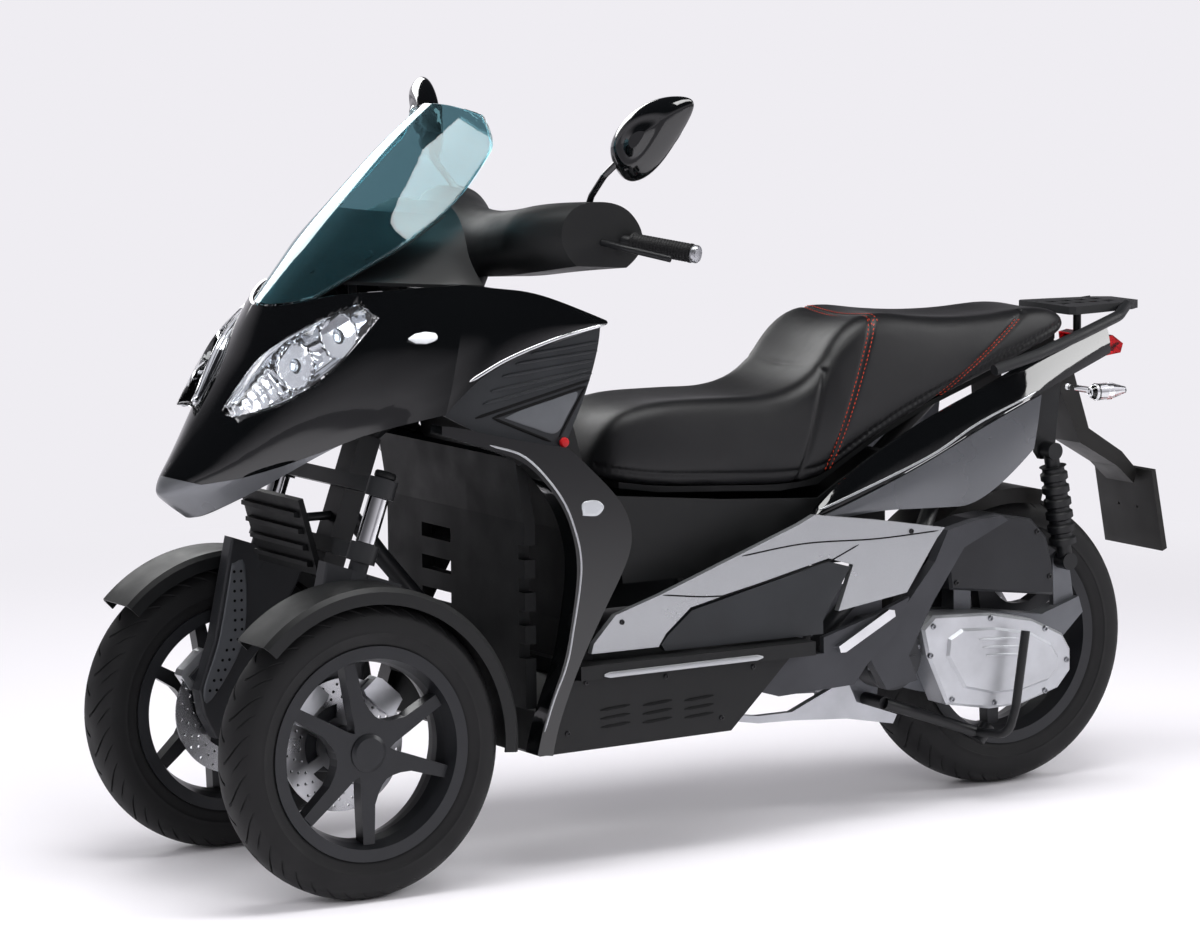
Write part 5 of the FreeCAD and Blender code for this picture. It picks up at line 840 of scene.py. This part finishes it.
# Seat: one stepped cushion of moulded foam under a tight leatherette cover, stretched over its pan.
# The cover is crowned by remeshing, swelling and subdividing the cushion; sewn seams and a fold are pressed in.
def hide_material(name, colour, roughness, grain_mm, depth):
    pores = ("TexVoronoi", {"Scale": 1000 / grain_mm}, "Distance", {"feature": "DISTANCE_TO_EDGE"})
    creases = ("TexNoise", {"Scale": 55.0, "Detail": 6.0}, "Fac", {})
    return textured(name, colour, roughness, (6.0, 3.0), (0.82, 1.18), [pores, creases], depth, 0.0005,
        {"Specular IOR Level": 0.4}, tones=(0.8, 1.25))


def moved(mesh, places):
    for vertex, place in zip(mesh.vertices, places):
        vertex.co = place


leatherette = hide_material("black_leatherette", "0E0E10", 0.46, 1.5, 0.5)
smooth_hide = hide_material("smooth_black_leatherette", "0A0A0B", 0.32, 2.2, 0.2)
cushion = node_copy("seat_cushion", "padded_seat", [leatherette, smooth_hide])
SWELL = 0.002
moved(cushion.data, [vertex.co - vertex.normal * SWELL for vertex in cushion.data.vertices])
remesh = cushion.modifiers.new("skin", "REMESH")
remesh.mode = "VOXEL"
remesh.voxel_size = 0.006
cushion.data = settled(cushion)
# The foam swells the cover by two millimetres wherever the pan does not hold it
moved(cushion.data, [vertex.co + vertex.normal * (SWELL if vertex.normal.z > -0.6 else 0.0)
    for vertex in cushion.data.vertices])
smoothed = cushion.modifiers.new("even", "SMOOTH")
smoothed.factor = 0.5
smoothed.iterations = 6
finer = cushion.modifiers.new("finer", "SUBSURF")
finer.levels = 1
finer.render_levels = 1
fine = settled(cushion)
cushion.data = fine
# Sewn seams as (x, z) ends in side view: across the seat before and behind the rider's pad, one down each flank
SEAM_FRONT = ((-0.242, 0.838), (-0.175, 0.640))
SEAM_BACK = ((-0.369, 0.962), (-0.241, 0.650))
FLANK_SEAM = ((-0.715, 0.925), (-0.470, 0.760))
SEAM_DEPTH, SEAM_WIDTH = 0.0042, 0.0055
FOLD_DEPTH, FOLD_WIDTH, FOLD_RISE = 0.003, 0.005, 0.022
COLUMN = 0.012


def seam_distance(point, seam):
    (x0, z0), (x1, z1) = seam
    run_x, run_z = x1 - x0, z1 - z0
    share = ((point.x - x0) * run_x + (point.z - z0) * run_z) / (run_x ** 2 + run_z ** 2)
    share = max(-0.1, min(1.0, share))
    return hypot(point.x - x0 - run_x * share, point.z - z0 - run_z * share)


def seam_x(seam, height):
    (x0, z0), (x1, z1) = seam
    return x0 + (height - z0) * (x1 - x0) / (z1 - z0)


lowest = {}
for vertex in fine.vertices:
    column = round(vertex.co.x / COLUMN)
    lowest[column] = min(lowest.get(column, 9), vertex.co.z)
pressed = []
for vertex in fine.vertices:
    point, normal, sink = vertex.co, vertex.normal, 0.0
    for seam, inner_edge in ((SEAM_FRONT, 0), (SEAM_BACK, 0), (FLANK_SEAM, 0.085)):
        if abs(point.y) >= inner_edge:
            sink = max(sink, SEAM_DEPTH * exp(-(seam_distance(point, seam) / SEAM_WIDTH) ** 2))
    if abs(normal.y) > 0.45:
        over_fold = point.z - lowest[round(point.x / COLUMN)] - FOLD_RISE
        sink = max(sink, FOLD_DEPTH * exp(-(over_fold / FOLD_WIDTH) ** 2))
    pressed.append(point - normal * sink)
moved(fine, pressed)
for face in fine.polygons:
    face.use_smooth = True
    x, z = face.center.x, face.center.z
    face.material_index = 1 if seam_x(SEAM_BACK, z) < x < seam_x(SEAM_FRONT, z) else 0
fine.materials.clear()
for material in (leatherette, smooth_hide):
    fine.materials.append(material)
fitted(cushion, "seat", "seat_cushion")

# Stitches: a double row of red-orange thread beside the rear seam and the flank seams.
# Each stitch is 5 mm long and lies on the cover.
thread = plastic("red_orange_thread", "C03A1C", 0.7, 0.6, 0.4)
stitch_form = turned_form("stitch_form", [(0.0002, -0.0025), (0.0006, -0.0021), (0.0008, 0.0), (0.0006, 0.0021),
    (0.0002, 0.0025)], 6, thread)
stitch_form.data.transform(Matrix.Rotation(radians(90), 4, "Y"))
seat_skin = BVHTree.FromPolygons([vertex.co for vertex in fine.vertices],
    [tuple(face.vertices) for face in fine.polygons])


STITCH_STEP, STITCH_LIFT, ROW_SHIFT = 0.0085, 0.0004, 0.0062


def stitch_row(seam, shift, flank_only):
    """Points along a seam down both flanks, and over the top unless it is on the flanks only, to one side of it."""
    (x0, z0), (x1, z1) = seam
    row = []
    for hand in (1, -1):
        count = int(hypot(x1 - x0, z1 - z0) / STITCH_STEP)
        for share in [place / count for place in range(count)]:
            hit = met(seat_skin, Vector((x0 + (x1 - x0) * share + shift, -0.1 * hand, z0 + (z1 - z0) * share)),
                Vector((0, -hand, 0)))
            if hit and abs(hit[1].y) > 0.35:
                row.append((hit[0] + hit[1] * STITCH_LIFT, hit[1], (x1 - x0, 0, z1 - z0)))
    if not flank_only:
        for place in range(-17, 18):
            hit = met(seat_skin, Vector((x0 + shift, place * STITCH_STEP, 0.8)), Vector((0, 0, -1)))
            if hit and hit[1].z > 0.6:
                row.append((hit[0] + hit[1] * STITCH_LIFT, hit[1], (0, 1, 0)))
    return row


stitches = []
for seam, flank_only in ((SEAM_BACK, False), (FLANK_SEAM, True)):
    for shift in (-ROW_SHIFT, ROW_SHIFT):
        stitches += stitch_row(seam, shift, flank_only)
repeated("seat_stitches", stitches, stitch_form, thread, "seat")


# Fork legs: hard-chromed stanchions between the arms, with black caps, and a perforated guard on each leg.
# Everything turns with the knuckle about the kingpin, which leans back by 19.5 degrees.
KINGPIN_LEAN = radians(19.5)
KINGPIN_FOOT = 0.89
kingpin_axis = (-sin(KINGPIN_LEAN), 0, cos(KINGPIN_LEAN))
SLEEVE = [(0.0178, 0.374), (0.0186, 0.375), (0.0186, 0.457), (0.0178, 0.458)]
CAP = [(0.0184, 0.494), (0.0196, 0.496), (0.0196, 0.503), (0.0172, 0.5065), (0.009, 0.5075), (0.002, 0.5075)]
guard_grey = plastic("satin_grey_guard", "4A4C50", 0.42, 1.4, 0.15)
# The guard's holes are not cut: each is a near-black disc, painted shade for the inside of the hole.
hole_painted_shade = plastic("perforation_painted_shade", "040404", 0.8, 2.0, 0.1, 0.1)
hole_form = turned_form("hole_form", [(0.0028, -0.001), (0.0028, 0.0004), (0.0022, 0.0006), (0.0004, 0.0006)], 10,
    hole_painted_shade)
GUARD_HEIGHT = 0.003
GUARD = ((-22, 545), (4, 540), (-2, 402), (-70, 296), (-84, 318), (-52, 405))
for hand, left in (("left", 0.19), ("right", -0.19)):
    body = "knuckle_" + hand
    kingpin = [((KINGPIN_FOOT, left, FRONT_TYRE), kingpin_axis)]
    turned_at("chromed_stanchion_" + hand, kingpin, SLEEVE, 28, chrome, body)
    turned_at("stanchion_cap_" + hand, kingpin, CAP, 28, black_plastic, body)
    leg_face = surface_of("fork_leg_" + hand)
    toward = LEFT if left < 0 else -LEFT
    patches("leg_guard_" + hand, leg_face, flank(left * 1000, *GUARD), GUARD_HEIGHT, guard_grey, body,
        paired=False, toward=toward)
    guard_holes = []
    for place in range(13):
        back, rise = -12 - max(0, place - 6) * 9, 530 - place * 18
        for hit in [met(leg_face, spot, toward) for spot in flank(left * 1000, (back - 7, rise), (back + 7, rise))]:
            if hit:
                guard_holes.append((hit[0] - toward * GUARD_HEIGHT, -toward, (1, 0, 0)))
    repeated("guard_holes_" + hand, guard_holes, hole_form, hole_painted_shade, body)

# Handlebar: soft rubber grips with moulded rings are pushed over the bar, with forged silver bar ends.
# Each mirror head holds a sheet of silvered glass that faces the rider.
bar_heading = Vector((-0.078, 0.126, -0.020)).normalized()
grip_seats = both_hands([(Vector((0.200, 0.388, 1.120)) - bar_heading * 0.1206, bar_heading)])
grip_rubber = plastic("soft_grip_rubber", "101011", 0.6, 1.0, 0.4, 0.3)
dress(grip_rubber, "grips")
GRIP = [(0.0118, 0.0), (0.0188, 0.0), (0.0188, 0.004), (0.0168, 0.006)]
for ring in range(18):
    start = 0.008 + ring * 0.0058
    GRIP += [(0.0166, start), (0.0172, start + 0.001), (0.0172, start + 0.0032), (0.0166, start + 0.0042)]
GRIP += [(0.0166, 0.1135), (0.0176, 0.115), (0.0176, 0.119), (0.0118, 0.12)]
turned_at("ribbed_grips", grip_seats, GRIP, 28, grip_rubber, "steering")
END = [(0.0158, 0.1215), (0.0164, 0.1225), (0.0164, 0.1295), (0.0146, 0.1325), (0.006, 0.134), (0.001, 0.134)]
turned_at("silver_bar_ends", grip_seats, END, 28, forged, "steering")
mirror_glass = casting("silvered_mirror_glass", "E9ECEE", 1.0, 0.02, 5.0, 0.0)
glass_ring = [Vector((0.33, 0.398 + 0.075 * x, 1.33 + 0.036 * y + 0.028 * x)) for x, y in circle(0, 0, 1, 14)]
patches("mirror_glasses", surface_of("mirrors"), glass_ring, 0.0012, mirror_glass, "steering",
    toward=Vector((1, 0, 0)))

# Red knob: a small moulded plastic knob at each fairing's lower rear corner.
# It is pushed into the panel.
red_knob = plastic("red_moulded_knob", "B3161B", 0.4, 1.5, 0.1)
KNOB = [(0.0055, -0.004), (0.0055, 0.003), (0.0085, 0.0045), (0.0092, 0.009), (0.0074, 0.0125), (0.002, 0.0135)]
knob_spots = screw_spots(surface_of("leg_shields", "fairing_inserts"), flank(330, (424, 783)))
turned_at("red_knobs", [(spot, normal) for spot, normal, heading in knob_spots], KNOB, 20, red_knob, "chassis")

# The patterns that were copied are put away
for pattern in (screw_form, stitch_form, hole_form):
    bpy.data.objects.remove(pattern)
